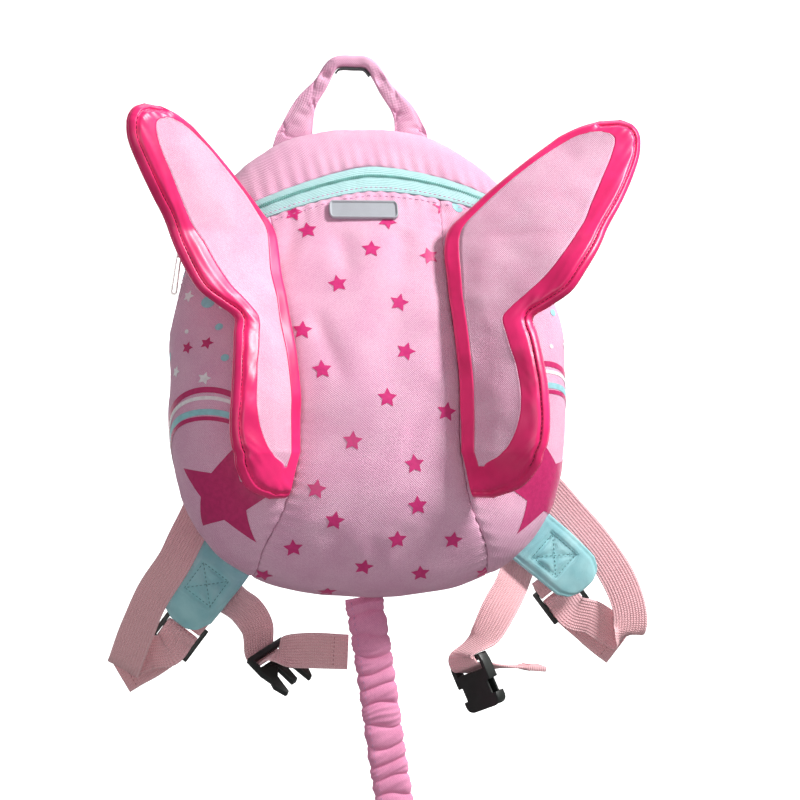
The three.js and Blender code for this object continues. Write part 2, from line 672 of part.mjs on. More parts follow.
function zipSlider() {
  const { seat, turn } = sliderFrame();
  const holder = new THREE.Group();
  holder.position.copy(seat);
  holder.quaternion.setFromRotationMatrix(turn);
  bag.add(holder);
  const under = layerGap + 0.2;
  const top = under + sliderThickness;
  const plate = toManifold(block(under, top, -sliderLength / 2, sliderLength / 2, -sliderWidth / 2, sliderWidth / 2));
  const reach = sliderLength / 2 - 0.6;
  const arch = new THREE.Shape();
  arch.moveTo(top - 0.5, -reach);
  arch.lineTo(top + bailHeight * 0.6, -reach);
  arch.quadraticCurveTo(top + bailHeight, -reach, top + bailHeight, -reach / 2);
  arch.lineTo(top + bailHeight, reach / 2);
  arch.quadraticCurveTo(top + bailHeight, reach, top + bailHeight * 0.6, reach);
  arch.lineTo(top - 0.5, reach);
  arch.lineTo(top - 0.5, reach - bailWire);
  arch.lineTo(top + bailHeight - bailWire * 1.6, reach - bailWire);
  arch.lineTo(top + bailHeight - bailWire, reach - 2 * bailWire);
  arch.lineTo(top + bailHeight - bailWire, 2 * bailWire - reach);
  arch.lineTo(top + bailHeight - bailWire * 1.6, bailWire - reach);
  arch.lineTo(top - 0.5, bailWire - reach);
  arch.closePath();
  const bailBreadth = 1.2 * bailWire;
  const options = { depth: bailBreadth, bevelEnabled: false, curveSegments: 4 };
  const bail = new THREE.ExtrudeGeometry(arch, options).translate(0, 0, -bailBreadth / 2);
  addMesh("zip_slider", fromManifold(plate.add(toManifold(bail))), looks.metal, holder);
  return { holder, top };
}

// The pull hangs down from the bail's bow and leans out just enough to rest clear of the side.
function zipPull(bow) {
  const shape = new THREE.Shape();
  const neck = pullWidth / 2 - 0.6;
  const foot = -pullLength;
  shape.absarc(0, 0, eyeRadius, radians(-55), radians(235), false);
  shape.lineTo(-neck, -eyeRadius - 1);
  shape.lineTo(-pullWidth / 2, foot + pullWidth / 2);
  shape.absarc(0, foot + pullWidth / 2, pullWidth / 2, Math.PI, 2 * Math.PI, false);
  shape.lineTo(neck, -eyeRadius - 1);
  shape.closePath();
  const eye = new THREE.Path();
  eye.absarc(0, 0, eyeHole, 0, 2 * Math.PI, true);
  const slot = new THREE.Path();
  slot.moveTo(-pullSlotWidth / 2, -eyeRadius - 4);
  slot.lineTo(pullSlotWidth / 2, -eyeRadius - 4);
  slot.lineTo(pullSlotWidth / 2, foot + pullWidth / 2);
  slot.absarc(0, foot + pullWidth / 2, pullSlotWidth / 2, 0, -Math.PI, true);
  slot.closePath();
  shape.holes.push(eye, slot);
  const options = { depth: pullThickness, bevelEnabled: false, curveSegments: 8 };
  const geometry = new THREE.ExtrudeGeometry(shape, options).translate(0, 0, -pullThickness / 2);
  const pull = addMesh("zip_pull", geometry.rotateX(Math.PI / 2), looks.metal);
  const footSide = cast(vec(0, bow.y, bow.z - pullLength), vec(-1, 0, 0)).x - seamPuff - pullWidth / 2 - layerGap;
  pull.position.copy(bow);
  pull.rotation.y = Math.atan2(bow.x - footSide, pullLength);
}

function slider() {
  const { holder, top } = zipSlider();
  holder.updateMatrixWorld(true);
  const bow = vec(top + bailHeight - bailWire / 2, 0, 0).applyMatrix4(holder.matrix);
  zipPull(bow);
}

function labelPlate() {
  const centreHeight = zipHeight - labelBelowZip;
  const rows = [-1, -0.86, -0.55, 0, 0.55, 0.86, 1];
  const columns = [-1, -0.95, -0.84, -0.5, 0, 0.5, 0.84, 0.95, 1];
  const corner = labelHeight * 0.32;
  const onPlate = (lift, rim) =>
    rows.map((v, r) =>
      columns.map((u, c) => {
        const intoCorner = Math.max(0, Math.abs(v) * (labelHeight / 2) - labelHeight / 2 + corner) / corner;
        const half = labelWidth / 2 - corner + corner * Math.sqrt(Math.max(0, 1 - intoCorner ** 2));
        const point = frontSurface(labelAcross + u * half, centreHeight + (v * labelHeight) / 2);
        const normal = bodyNormal(point);
        const atRim = r < 2 || r > rows.length - 3 || c < 2 || c > columns.length - 3;
        return point.addScaledVector(normal, lift + (atRim ? rim : 0));
      }),
    );
  const seat = seamPuff / 2 + layerGap;
  addMesh("label_plate", gridSolid(onPlate(seat + labelThickness, labelRim), onPlate(seat, 0)), looks.label);
}

// Distance from a point of the wing's flat form to its outline
function outlineDistance(outline, across, up) {
  let best = Infinity;
  outline.forEach(([x0, z0], k) => {
    const [x1, z1] = outline[(k + 1) % outline.length];
    const [dx, dz] = [x1 - x0, z1 - z0];
    const share = THREE.MathUtils.clamp(((across - x0) * dx + (up - z0) * dz) / (dx * dx + dz * dz), 0, 1);
    best = Math.min(best, Math.hypot(across - x0 - share * dx, up - z0 - share * dz));
  });
  return best;
}

function wingBase(side, z) {
  const rootTop = frontSeamRows[0].up * height;
  const low = Math.min(z, rootTop);
  const point = frontSurface(frontSeamAcross(side, low), low);
  point.addScaledVector(bodyNormal(point), wingPose[side].standOff);
  point.y += wingLean * (z - low);
  point.z = z;
  return point;
}

// A wing lies along its seam and leans forward; its front and back halves meet at the middle.
function wing(side) {
  const sign = sideSign[side];
  const pose = wingPose[side];
  const flat = wingRows.map((row) => ({
    z: row.up * wingHeight - wingFoot,
    marks: [row.root, row.windowIn, row.windowOut, row.tip].map((share) => share * wingReach * pose.reach),
  }));
  const outline = [...flat.map(({ z, marks }) => [marks[0], z])];
  outline.push(...flat.map(({ z, marks }) => [marks[3], z]).reverse());
  const notch = wingRows[12].up * wingHeight - wingFoot;
  const place = (across, up, off) => {
    const share = THREE.MathUtils.clamp((up + wingFoot) / wingHeight, 0, 1);
    const angle = radians(mix(pose.lowAngle, pose.highAngle, smooth(share, 0.55, 0.95)));
    const base = wingBase(side, up);
    const lift = pose.tipLift * smooth(up, notch, wingHeight - wingFoot) * (across / wingReach);
    const reachOut = across * Math.cos(angle) - off * Math.sin(angle);
    const reachForward = across * Math.sin(angle) + off * Math.cos(angle);
    return vec(base.x + sign * reachOut, base.y - reachForward, up + lift);
  };
  const thick = (across, up) => {
    const near = Math.min(outlineDistance(outline, across, up), wingEdgeRadius) / wingEdgeRadius;
    return wingEdge + (wingPuff - wingEdge) * Math.sqrt(1 - (1 - near) ** 2);
  };
  const borderShares = [0, 0.4];
  const columnsOf = ([root, windowIn, windowOut, tip], trim) => [
    ...borderShares.map((share) => mix(root, windowIn, share)),
    ...steps(4, windowIn + trim, windowOut - trim),
    ...borderShares.map((share) => mix(tip, windowOut, share)).reverse(),
  ];
  const grid = (trim, off) =>
    flat.map(({ z, marks }, r) => {
      const shift = r === windowFirstRow ? -trim : r === windowLastRow ? trim : 0;
      return columnsOf(marks, trim).map((across) => place(across, z + shift, off(across, z)));
    });
  const half = layerGap / 2;
  const sunk = (across, up) => thick(across, up) - wingInsetSunk;
  const windowColumn = (c) => c >= borderShares.length && c < borderShares.length + 4;
  const inWindow = (r, c) => r >= windowFirstRow && r < windowLastRow && windowColumn(c);
  const middle = grid(0, () => half);
  const frontFace = grid(0, thick);
  const border = gridSolid(frontFace, middle, (r, c) => !inWindow(r, c));
  addMesh("wing_" + side + "_border", border, looks.border);
  addMesh("wing_" + side + "_inset", gridSolid(grid(layerGap, sunk), grid(layerGap, () => half), inWindow), looks.inset);
  const backFace = grid(0, (across, up) => -thick(across, up));
  addMesh("wing_" + side + "_back", gridSolid(backFace, grid(0, () => -half)), looks.border);
}

// The strap's route as a curve with its other columns carried along it
function strapSections(rows, count) {
  const curve = new THREE.CatmullRomCurve3(rows.map((row) => row.point), false, "centripetal");
  return steps(count).map((share) => {
    const t = curve.getUtoTmapping(share);
    const place = t * (rows.length - 1);
    const k = Math.min(Math.floor(place), rows.length - 2);
    const column = (name) => mix(rows[k][name], rows[k + 1][name], place - k);
    const tangent = curve.getTangent(t);
    const aimOf = (row) => row.aim?.clone() ?? widthAim(row.tilt, row.swing ?? 0);
    const aim = aimOf(rows[k]).lerp(aimOf(rows[k + 1]), place - k);
    const across = aim.addScaledVector(tangent, -aim.dot(tangent)).normalize();
    const face = across.clone().cross(tangent).normalize();
    return { point: curve.getPoint(t), across, face, tangent, column, share };
  });
}

const widthAim = (tilt, swing) =>
  vec(Math.cos(radians(tilt)) * Math.cos(radians(swing)), Math.sin(radians(swing)), Math.sin(radians(tilt)));

function flatSection({ point, across, face }, wide, thick) {
  const corners = [[-1, -1], [1, -1], [1, 1], [-1, 1]];
  return corners.map(([u, v]) =>
    point.clone().addScaledVector(across, (u * wide) / 2).addScaledVector(face, (v * thick) / 2),
  );
}

function roundSection({ point, across, face }, wide, thick, sides = 10, power = 3) {
  return steps(sides, 0, 2 * Math.PI).slice(0, -1).map((angle) => {
    const u = Math.sign(Math.cos(angle)) * Math.abs(Math.cos(angle)) ** (2 / power);
    const v = Math.sign(Math.sin(angle)) * Math.abs(Math.sin(angle)) ** (2 / power);
    return point.clone().addScaledVector(across, (u * wide) / 2).addScaledVector(face, (v * thick) / 2);
  });
}

const strapPoint = ({ out, back, up }) => vec(out * halfWidth, back * backDepth, up * height);
const routeOf = (rows) => rows.map((row) => ({ ...row, point: strapPoint(row) }));

function shoulderPad(side) {
  const sections = strapSections(routeOf(padRows[side]), 18);
  const rings = sections.map((section) => {
    const wide = section.column("wide") * padWidth;
    const end = 1 - 0.45 * smooth(section.share, 0.93, 1);
    return roundSection(section, wide, padThickness * end);
  });
  addMesh("shoulder_pad_" + side, loft(rings), looks.pad);
}

// A point in a ladder lock's own frame: along towards the pad, off towards the front
function lockFrame(side) {
  const { tilt } = lockPlaces[side];
  const centre = strapPoint(lockPlaces[side]);
  const across = widthAim(tilt, 0);
  const along = vec(-sideSign[side] * Math.sin(radians(Math.abs(tilt))), 0, Math.cos(radians(tilt)));
  const front = vec(0, -1, 0);
  const at = (a, n) => centre.clone().addScaledVector(along, a).addScaledVector(front, n);
  return { centre, across, along, at, tilt };
}

function adjuster(side) {
  const { centre, across, along } = lockFrame(side);
  const [halfLong, halfWide, halfThick] = [lockLength / 2, lockWidth / 2, lockThickness / 2];
  const frame = toManifold(block(-halfWide, halfWide, -halfLong, halfLong, -halfThick, halfThick));
  const opening = webWidth / 2 + 0.4;
  const slots = [
    [lockBar / 2, halfLong - lockBar],
    [lockBar - halfLong, -lockBar / 2],
  ];
  const cut = slots.reduce(
    (solid, [from, to]) => solid.subtract(toManifold(block(-opening, opening, from, to, -lockThickness, lockThickness))),
    frame,
  );
  const mesh = addMesh("adjuster_" + side, fromManifold(cut), looks.plastic);
  mesh.position.copy(centre);
  mesh.quaternion.setFromRotationMatrix(new THREE.Matrix4().makeBasis(across, along, across.clone().cross(along)));
}

// The half turn of a web round a bar: points from one face to the other
const halfTurn = (at, centre, radius, tilt, direction) =>
  steps(6, -90, 90).map((angle) => ({
    point: at(centre + direction * radius * Math.cos(radians(angle)), -radius * Math.sin(radians(angle))),
    tilt,
  }));

function ribbon(rows, count, hems = []) {
  const sections = strapSections(rows, count);
  return loft(
    sections.map((section) => {
      const thick = hems.some((hem) => hem(section.share)) ? hemThickness : webThickness;
      return flatSection(section, webWidth, thick);
    }),
  );
}

function lowerWeb(side) {
  const { at, tilt } = lockFrame(side);
  const turn = halfTurn(at, 0.6, turnRadius, tilt, 1);
  const rows = [
    ...routeOf(lowerWebRows[side]),
    { point: at(-lockLength / 2, turnRadius + 0.8), tilt },
    { point: at(-2, turnRadius), tilt },
    ...turn,
    { point: at(-2, -turnRadius), tilt },
    { point: at(-lockLength / 2, -turnRadius - 1.2), tilt },
    ...routeOf(tailRows[side]),
  ];
  addMesh("lower_web_" + side, ribbon(rows, 60, [(share) => share > tailHemStart]), looks.web);
}

// The short loop that ties a ladder lock to the back of its pad
function adjusterTab(side) {
  const { centre, at, tilt } = lockFrame(side);
  const barCentre = (lockLength - lockBar) / 2;
  const padBack = strapPoint(padRows[side][7]).y + padThickness / 2;
  const nearPad = centre.y - padBack - webThickness / 2 - 2 * layerGap;
  const farLayer = nearPad - webThickness - 2 * layerGap;
  const rows = [
    { point: at(barCentre + 7.5, nearPad), tilt },
    { point: at(barCentre + 3, mix(turnRadius, nearPad, 0.45)), tilt },
    { point: at(barCentre + 1, turnRadius + layerGap), tilt },
    ...halfTurn(at, barCentre - 0.3, turnRadius, tilt, -1),
    { point: at(barCentre + 2.2, -0.75 * turnRadius), tilt },
    { point: at(barCentre + 4.6, farLayer - 3.5), tilt },
    { point: at(barCentre + 7.5, farLayer), tilt },
  ];
  addMesh("adjuster_tab_" + side, ribbon(rows, 18), looks.web);
}

function buckleFrame(place, axis, face) {
  const along = vec(...axis).normalize();
  const front = vec(...face);
  front.addScaledVector(along, -front.dot(along)).normalize();
  const across = along.clone().cross(front);
  const at = (a, b, n) =>
    strapPoint(place).addScaledVector(along, a).addScaledVector(across, b).addScaledVector(front, n);
  const aim = across.clone().multiplyScalar(Math.sign(across.x));
  return { at, aim, matrix: new THREE.Matrix4().makeBasis(across, along, across.clone().cross(along)) };
}

function addBuckle(name, solid, place, frame) {
  const mesh = addMesh(name, fromManifold(solid), looks.plastic);
  mesh.position.copy(strapPoint(place));
  mesh.quaternion.setFromRotationMatrix(frame.matrix);
}

// The plug: a bar, a slot, a crosspiece, two sprung arms with barbs and a middle tongue
function bucklePlug(frame) {
  const half = buckleWidth / 2;
  const thick = buckleThickness / 2 - 1;
  const shape = new THREE.Shape();
  const baseEnd = barWidth + slotLength + barWidth;
  shape.moveTo(-half, -barWidth / 2);
  shape.lineTo(half, -barWidth / 2);
  shape.lineTo(half, baseEnd - barWidth / 2);
  shape.lineTo(half - 1.5, baseEnd + 5);
  shape.lineTo(half - 0.4, plugLength - 9);
  shape.lineTo(half - 3, plugLength - 1.5);
  shape.lineTo(half - 5, plugLength - 1.5);
  shape.lineTo(half - 1.5 - prongWidth, baseEnd + 5);
  shape.lineTo(prongWidth / 2, baseEnd + 1);
  shape.lineTo(prongWidth / 2 - 0.6, plugLength - 5);
  shape.lineTo(0.6 - prongWidth / 2, plugLength - 5);
  shape.lineTo(-prongWidth / 2, baseEnd + 1);
  shape.lineTo(1.5 + prongWidth - half, baseEnd + 5);
  shape.lineTo(5 - half, plugLength - 1.5);
  shape.lineTo(3 - half, plugLength - 1.5);
  shape.lineTo(0.4 - half, plugLength - 9);
  shape.lineTo(1.5 - half, baseEnd + 5);
  shape.lineTo(-half, baseEnd - barWidth / 2);
  shape.closePath();
  const slot = new THREE.Path();
  const opening = webWidth / 2 + 0.4;
  slot.moveTo(-opening, barWidth / 2);
  slot.lineTo(-opening, barWidth / 2 + slotLength);
  slot.lineTo(opening, barWidth / 2 + slotLength);
  slot.lineTo(opening, barWidth / 2);
  slot.closePath();
  shape.holes.push(slot);
  const options = { depth: 2 * thick, bevelEnabled: false };
  addBuckle("buckle_plug", toManifold(new THREE.ExtrudeGeometry(shape, options).translate(0, 0, -thick)), plugPlace, frame);
}

// The socket: a flat shell with a mouth for the plug, a window in each side and a barred slot for the web
function buckleSocket(frame) {
  const half = buckleWidth / 2;
  const thick = buckleThickness / 2 + 0.4;
  const baseEnd = barWidth + slotLength;
  const shape = new THREE.Shape();
  shape.moveTo(1 - half, -barWidth / 2);
  shape.lineTo(half - 1, -barWidth / 2);
  shape.lineTo(half, barWidth);
  shape.lineTo(half, socketLength - 6);
  shape.quadraticCurveTo(half - 0.5, socketLength - 2, half - 5, socketLength - barWidth / 2);
  shape.lineTo(5 - half, socketLength - barWidth / 2);
  shape.quadraticCurveTo(0.5 - half, socketLength - 2, -half, socketLength - 6);
  shape.lineTo(-half, barWidth);
  shape.closePath();
  const shell = toManifold(new THREE.ExtrudeGeometry(shape, { depth: 2 * thick, bevelEnabled: false }).translate(0, 0, -thick));
  const opening = webWidth / 2 + 0.4;
  const slot = block(-opening, opening, barWidth / 2, barWidth / 2 + slotLength, -2 * thick, 2 * thick);
  const mouth = block(2 - half, half - 2, baseEnd + barWidth, socketLength, -thick + 1.4, thick - 1.4);
  const windows = [-1, 1].map((sign) => {
    const [from, to] = [sign * (half - 3), sign * (half + 1)].sort((a, b) => a - b);
    return toManifold(block(from, to, socketLength - 17, socketLength - 9, -2 * thick, 2 * thick));
  });
  const open = windows.reduce((solid, window) => solid.subtract(window), shell.subtract(toManifold(slot)));
  addBuckle("buckle_socket", open.subtract(toManifold(mouth)), socketPlace, frame);
}

// A chest web runs from behind its pad to one face of the buckle's bar, and through the slot to a hemmed tail.
function chestWeb(side, frame, face, tail) {
  const inSlot = barWidth / 2 + slotLength / 2;
  const over = face * (buckleThickness / 2 + webThickness / 2 + 2 * layerGap);
  const { aim } = frame;
  const rows = [
    ...routeOf(chestWebRows[side]),
    { aim, point: frame.at(-barWidth, 0, over) },
    { aim, point: frame.at(inSlot - 1.8, 0, over) },
    { aim, point: frame.at(inSlot, 0, 0) },
    { aim, point: frame.at(inSlot + 1.8, 0, -over) },
    ...tail,
  ];
  addMesh("chest_web_" + side, ribbon(rows, 44, [(share) => share > chestHemStart]), looks.web);
}

function chestStrap() {
  const plugFrame = buckleFrame(plugPlace, plugAxis, plugFace);
  const socketFrame = buckleFrame(socketPlace, socketAxis, socketFace);
  bucklePlug(plugFrame);
  buckleSocket(socketFrame);
  const plugStart = plugFrame.at(7.4, 0, 8);
  const plugTail = [
    { aim: plugFrame.aim, point: plugStart },
    { point: plugStart.clone().add(vec(0.45 * chestTailLength.left, -1, 1)), tilt: 66, swing: 8 },
    { point: plugStart.clone().add(vec(chestTailLength.left, -2, 0)), tilt: 78, swing: 4 },
  ];
  const socketStart = socketFrame.at(7.4, 0, -9);
  const socketTail = [
    { aim: socketFrame.aim, point: socketStart },
    { point: socketStart.clone().add(vec(0.45 * chestTailLength.right, 3, 0)), tilt: 4, swing: -72 },
    { point: socketStart.clone().add(vec(chestTailLength.right, 5, -1)), tilt: 0, swing: -80 },
  ];
  chestWeb("left", plugFrame, -1, plugTail);
  chestWeb("right", socketFrame, 1, socketTail);
}

function handle() {
  const rows = handleRows.map((row) => {
    const depth = mix(handleStandBack, handleTopDepth, smooth(row.up, 0.545, 0.74));
    return { ...row, point: vec(row.across * halfWidth, depth, row.up * height) };
  });
  const curve = new THREE.CatmullRomCurve3(rows.map((row) => row.point), false, "centripetal");
  const sections = steps(26).map((share) => {
    const t = curve.getUtoTmapping(share);
    const place = t * (rows.length - 1);
    const k = Math.min(Math.floor(place), rows.length - 2);
    const column = (name) => mix(rows[k][name], rows[k + 1][name], place - k);
    const tangent = curve.getTangent(t);
    const across = tangent.clone().cross(vec(0, 1, 0)).normalize();
    return { point: curve.getPoint(t), across, face: vec(0, 1, 0), column, share };
  });
  const size = ({ column }) => {
    const grip = column("grip");
    return { wide: mix(column("wide") * handleBand, gripHeight, grip), thick: mix(handleThickness, gripThickness, grip) };
  };
  const rings = sections.map((section) => {
    const { wide, thick } = size(section);
    return roundSection(section, wide, thick, 8, mix(5, 2.6, section.column("grip")));
  });
  addMesh("handle_cover", loft(rings), looks.body);

  const under = sections.filter(({ share }) => share >= liningRun.from && share <= liningRun.to);
  const lining = under.map((section) => {
    const { wide, thick } = size(section);
    const down = section.across.z < 0 ? 1 : -1;
    const offset = wide / 2 + layerGap + liningThickness / 2;
    const point = section.point.clone().addScaledVector(section.across, down * offset);
    return flatSection({ ...section, point }, liningThickness, thick * 0.6);
  });
  addMesh("handle_lining", loft(lining), looks.lining);
  const top = rows[6].point;
  return vec(0, handleTopDepth, top.z - gripHeight / 2 - layerGap - liningThickness);
}

// The rein hangs from the bag's bottom; its gathers swell and pinch the flat tube.
function rein() {
  const reinTop = -dropBelow - seamPuff - 2 * layerGap;
  const rows = reinRows.map((row) => ({
    point: vec(row.across * halfWidth, row.depth * backDepth, reinTop - row.down * reinLength),
    tilt: 0,
  }));
  const rings = strapSections(rows, 40).map((section) => {
    const run = section.share * reinLength;
    const phase = (2 * Math.PI * run) / reinGather;
    const calm = Math.min(smooth(section.share, 0, 0.04), 1 - smooth(section.share, 0.97, 1));
    const wide = reinWidth + reinRuffle * calm * (Math.sin(phase) + 0.6 * Math.sin(phase * 0.53 + 1));
    const thick = mix(3, reinThickness, calm) + reinRuffle * calm * Math.cos(phase);
    return roundSection(section, wide, thick, 8, 2.4);
  });
  addMesh("rein", loft(rings), looks.rein);
}

bodyPanels();
backPanel();
zip();
slider();
labelPlate();
for (const side of ["left", "right"]) {
  wing(side);
  shoulderPad(side);
  lowerWeb(side);
  adjuster(side);
  adjusterTab(side);
}
chestStrap();
rein();
const hangPoint = handle();
bag.position.copy(hangPoint).negate();

export default backpack;
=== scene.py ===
"""A small child's harness backpack: its cloth, wings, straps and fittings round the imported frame.

Lengths below are millimetres in the bag's own frame, whose origin is the middle of its widest
section. The function metres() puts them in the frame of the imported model.
"""

import math

import bmesh
import bpy
import numpy as np
from mathutils import Matrix, Vector
from mathutils.bvhtree import BVHTree


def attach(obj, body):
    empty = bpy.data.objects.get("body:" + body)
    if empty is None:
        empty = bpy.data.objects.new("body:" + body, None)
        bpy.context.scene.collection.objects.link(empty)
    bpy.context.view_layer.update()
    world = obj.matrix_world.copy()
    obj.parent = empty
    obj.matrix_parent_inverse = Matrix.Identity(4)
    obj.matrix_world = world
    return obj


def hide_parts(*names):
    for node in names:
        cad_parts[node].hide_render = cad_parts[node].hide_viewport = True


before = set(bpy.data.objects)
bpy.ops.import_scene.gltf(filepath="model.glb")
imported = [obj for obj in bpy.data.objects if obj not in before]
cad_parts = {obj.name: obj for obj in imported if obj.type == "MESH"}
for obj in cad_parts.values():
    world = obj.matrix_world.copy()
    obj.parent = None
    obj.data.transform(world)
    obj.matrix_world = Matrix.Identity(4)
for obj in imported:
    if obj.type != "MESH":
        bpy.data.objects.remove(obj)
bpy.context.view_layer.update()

HANG_POINT = np.array([0.0, 40.0, 189.936])
HALF_WIDTH, RISE, DROP = 110.0, 153.0, 108.7
HEIGHT = RISE + DROP
FRONT_DEPTH, BACK_DEPTH = 50.0, 42.0
DEEPEST_BELOW, TOP_LEAN = 40.0, 26.0
ROUND_FRONT, ROUND_BACK = 2.2, 5.0
BACK_SEAM = 34.0
FULL_TURN = 2 * math.pi
SIDES = {"left": -1, "right": 1}

# Form of the bag


def metres(points):
    return (np.asarray(points, float) - HANG_POINT) / 1000


def unit(vectors):
    return vectors / np.maximum(np.linalg.norm(vectors, axis=-1, keepdims=True), 1e-9)


def smooth(value, low, high):
    share = np.clip((value - low) / (high - low), 0, 1)
    return share * share * (3 - 2 * share)


def mix(a, b, share):
    return a + (b - a) * share


def closure(share, power):
    return np.maximum(0, 1 - np.minimum(1, np.abs(share)) ** power) ** (1 / power)


def section_centre(z):
    return TOP_LEAN * smooth(z, 0, RISE)


def above_below(z, above, below):
    return np.where(z > 0, closure(z / RISE, above), closure(z / DROP, below))


def section_half(z):
    return HALF_WIDTH * above_below(z, 2.4, 2.7)


def section_front(z):
    up = z + DEEPEST_BELOW
    top, bottom = closure(up / (RISE + DEEPEST_BELOW), 1.6), closure(up / (DROP - DEEPEST_BELOW), 2.1)
    return FRONT_DEPTH * np.where(up > 0, top, bottom)


def section_back(z):
    return (BACK_DEPTH - section_centre(z)) * above_below(z, 5.5, 4)


def level(points):
    """Below one inside the bag, one on its surface."""
    x, y, raw = np.moveaxis(points, -1, 0)
    z = np.clip(raw, -DROP + 1e-3, RISE - 1e-3)
    from_centre = y - section_centre(z)
    ahead = from_centre < 0
    depth = np.where(ahead, section_front(z), section_back(z))
    power = np.where(ahead, ROUND_FRONT, ROUND_BACK)
    share = (np.abs(x) / section_half(z)) ** power + (np.abs(from_centre) / depth) ** power
    return share + np.abs(raw - z) * 10


def cast(start, direction):
    """The point of the bag's surface that lies from start in a direction."""
    direction = unit(direction)
    near = np.zeros(direction.shape[:-1])
    far = near + 3 * HEIGHT
    for _ in range(34):
        middle = (near + far) / 2
        inside = level(start + direction * middle[..., None]) < 1
        near, far = np.where(inside, middle, near), np.where(inside, far, middle)
    return start + direction * near[..., None]


CORE = np.array([0, 0.12 * BACK_DEPTH, 0])


def on_bag(points):
    return cast(CORE, points - CORE)


def bag_normal(points):
    steps = np.eye(3) * 0.4
    return unit(np.stack([level(points + step) - level(points - step) for step in steps], -1))


def front_surface(x, z):
    x, z = np.broadcast_arrays(np.asarray(x, float), np.asarray(z, float))
    depth = section_front(z) * closure(x / section_half(z), ROUND_FRONT)
    return np.stack([x, section_centre(z) - depth, z], -1)


def side_surface(turn, z, sign):
    """A point at a height, turned by degrees from straight ahead towards one side."""
    turn, z = np.broadcast_arrays(np.radians(turn), np.asarray(z, float))
    start = np.stack([0 * z, section_centre(z), z], -1)
    return cast(start, np.stack([sign * np.sin(turn), -np.cos(turn), 0 * z], -1))


def spline(points, places):
    """Points of the smooth curve through the given ones; a place counts its spans."""
    points = np.asarray(points, float)
    ends = np.vstack([2 * points[0] - points[1], points, 2 * points[-1] - points[-2]])
    k = np.clip(np.floor(places).astype(int), 0, len(points) - 2)
    t = (places - k)[:, None]
    p0, p1, p2, p3 = (ends[k + i] for i in range(4))
    pairs = ((p0, p1), (p1, p2), (p2, p3))
    d0, d1, d2 = (np.linalg.norm(b - a, axis=1)[:, None] ** 0.5 + 1e-6 for a, b in pairs)
    m1 = ((p1 - p0) / d0 - (p2 - p0) / (d0 + d1) + (p2 - p1) / d1) * d1
    m2 = ((p2 - p1) / d1 - (p3 - p1) / (d1 + d2) + (p3 - p2) / d2) * d1
    return p1 + m1 * t + (3 * (p2 - p1) - 2 * m1 - m2) * t**2 + (2 * (p1 - p2) + m1 + m2) * t**3


def run_of(points):
    return np.concatenate([[0], np.cumsum(np.linalg.norm(np.diff(points, axis=0), axis=1))])


def even_places(points, shares):
    dense = np.linspace(0, len(points) - 1, 400)
    run = run_of(spline(points, dense))
    return np.interp(np.asarray(shares) * run[-1], run, dense)


ZIP_HEIGHT, ZIP_DROP, ZIP_END = 126.0, 41.0, 100.0
UPPER_EDGE, LOWER_EDGE = 5.5, -9.0


def zip_point(angle, above=0.0):
    angle = np.asarray(angle, float)
    share = np.abs(angle) / 90
    turn = np.radians(angle)
    z = ZIP_HEIGHT - ZIP_DROP * share**1.45 + 6.6 * np.sin(turn) + above
    x = section_half(z) * np.abs(np.sin(turn)) ** (2 / ROUND_FRONT)
    y = section_centre(z) - section_front(z) * np.maximum(0, np.cos(turn)) ** (2 / ROUND_FRONT)
    back = mix(section_centre(z), BACK_SEAM, (np.abs(angle) - 90) / (ZIP_END - 90))
    behind = section_half(z) * closure((back - section_centre(z)) / section_back(z), ROUND_BACK)
    return np.stack([np.sign(angle) * np.where(share > 1, behind, x), np.where(share > 1, back, y), z], -1)


SEAM_OUT = {"left": 0.62, "right": 0.48}
SEAM_TOP = {
    side: sign * math.degrees(math.asin(SEAM_OUT[side] ** (ROUND_FRONT / 2)))
    for side, sign in SIDES.items()
}
# Height as a share of the bag's, and the way out as a share of the half-width there
SEAM_ROWS = np.array(
    [(0.342, 0.488), (0.214, 0.435), (0.107, 0.413), (0, 0.405), (-0.107, 0.413), (-0.22, 0.5), (-0.31, 0.7)]
    + [(-0.363, 0.91)]
)
CORNER = 146.0


def seam_across(side, z):
    up, out = SEAM_ROWS[::-1].T
    lean = 7 * smooth(z, 0, SEAM_ROWS[0, 0] * HEIGHT)
    return SIDES[side] * np.interp(z / HEIGHT, up, out) * section_half(z) - lean


def back_seam(angle):
    turn = np.radians(np.asarray(angle, float))
    return cast(np.array([0, BACK_SEAM, 0]), np.stack([np.sin(turn), 0 * turn, np.cos(turn)], -1))


def angle_of(point):
    return math.degrees(math.atan2(point[0], point[2]))


SEAM_END = {side: angle_of(zip_point(sign * ZIP_END, LOWER_EDGE)) for side, sign in SIDES.items()}


def seam_route(side):
    z = SEAM_ROWS[:, 0] * HEIGHT
    rows = front_surface(seam_across(side, z), z)
    corner = back_seam(SIDES[side] * CORNER)
    under = on_bag((rows[-1] + corner) / 2)
    return np.vstack([zip_point(SEAM_TOP[side], LOWER_EDGE), rows, under, corner])


def seam_line(side, shares):
    route = seam_route(side)
    return spline(route, even_places(route, shares))


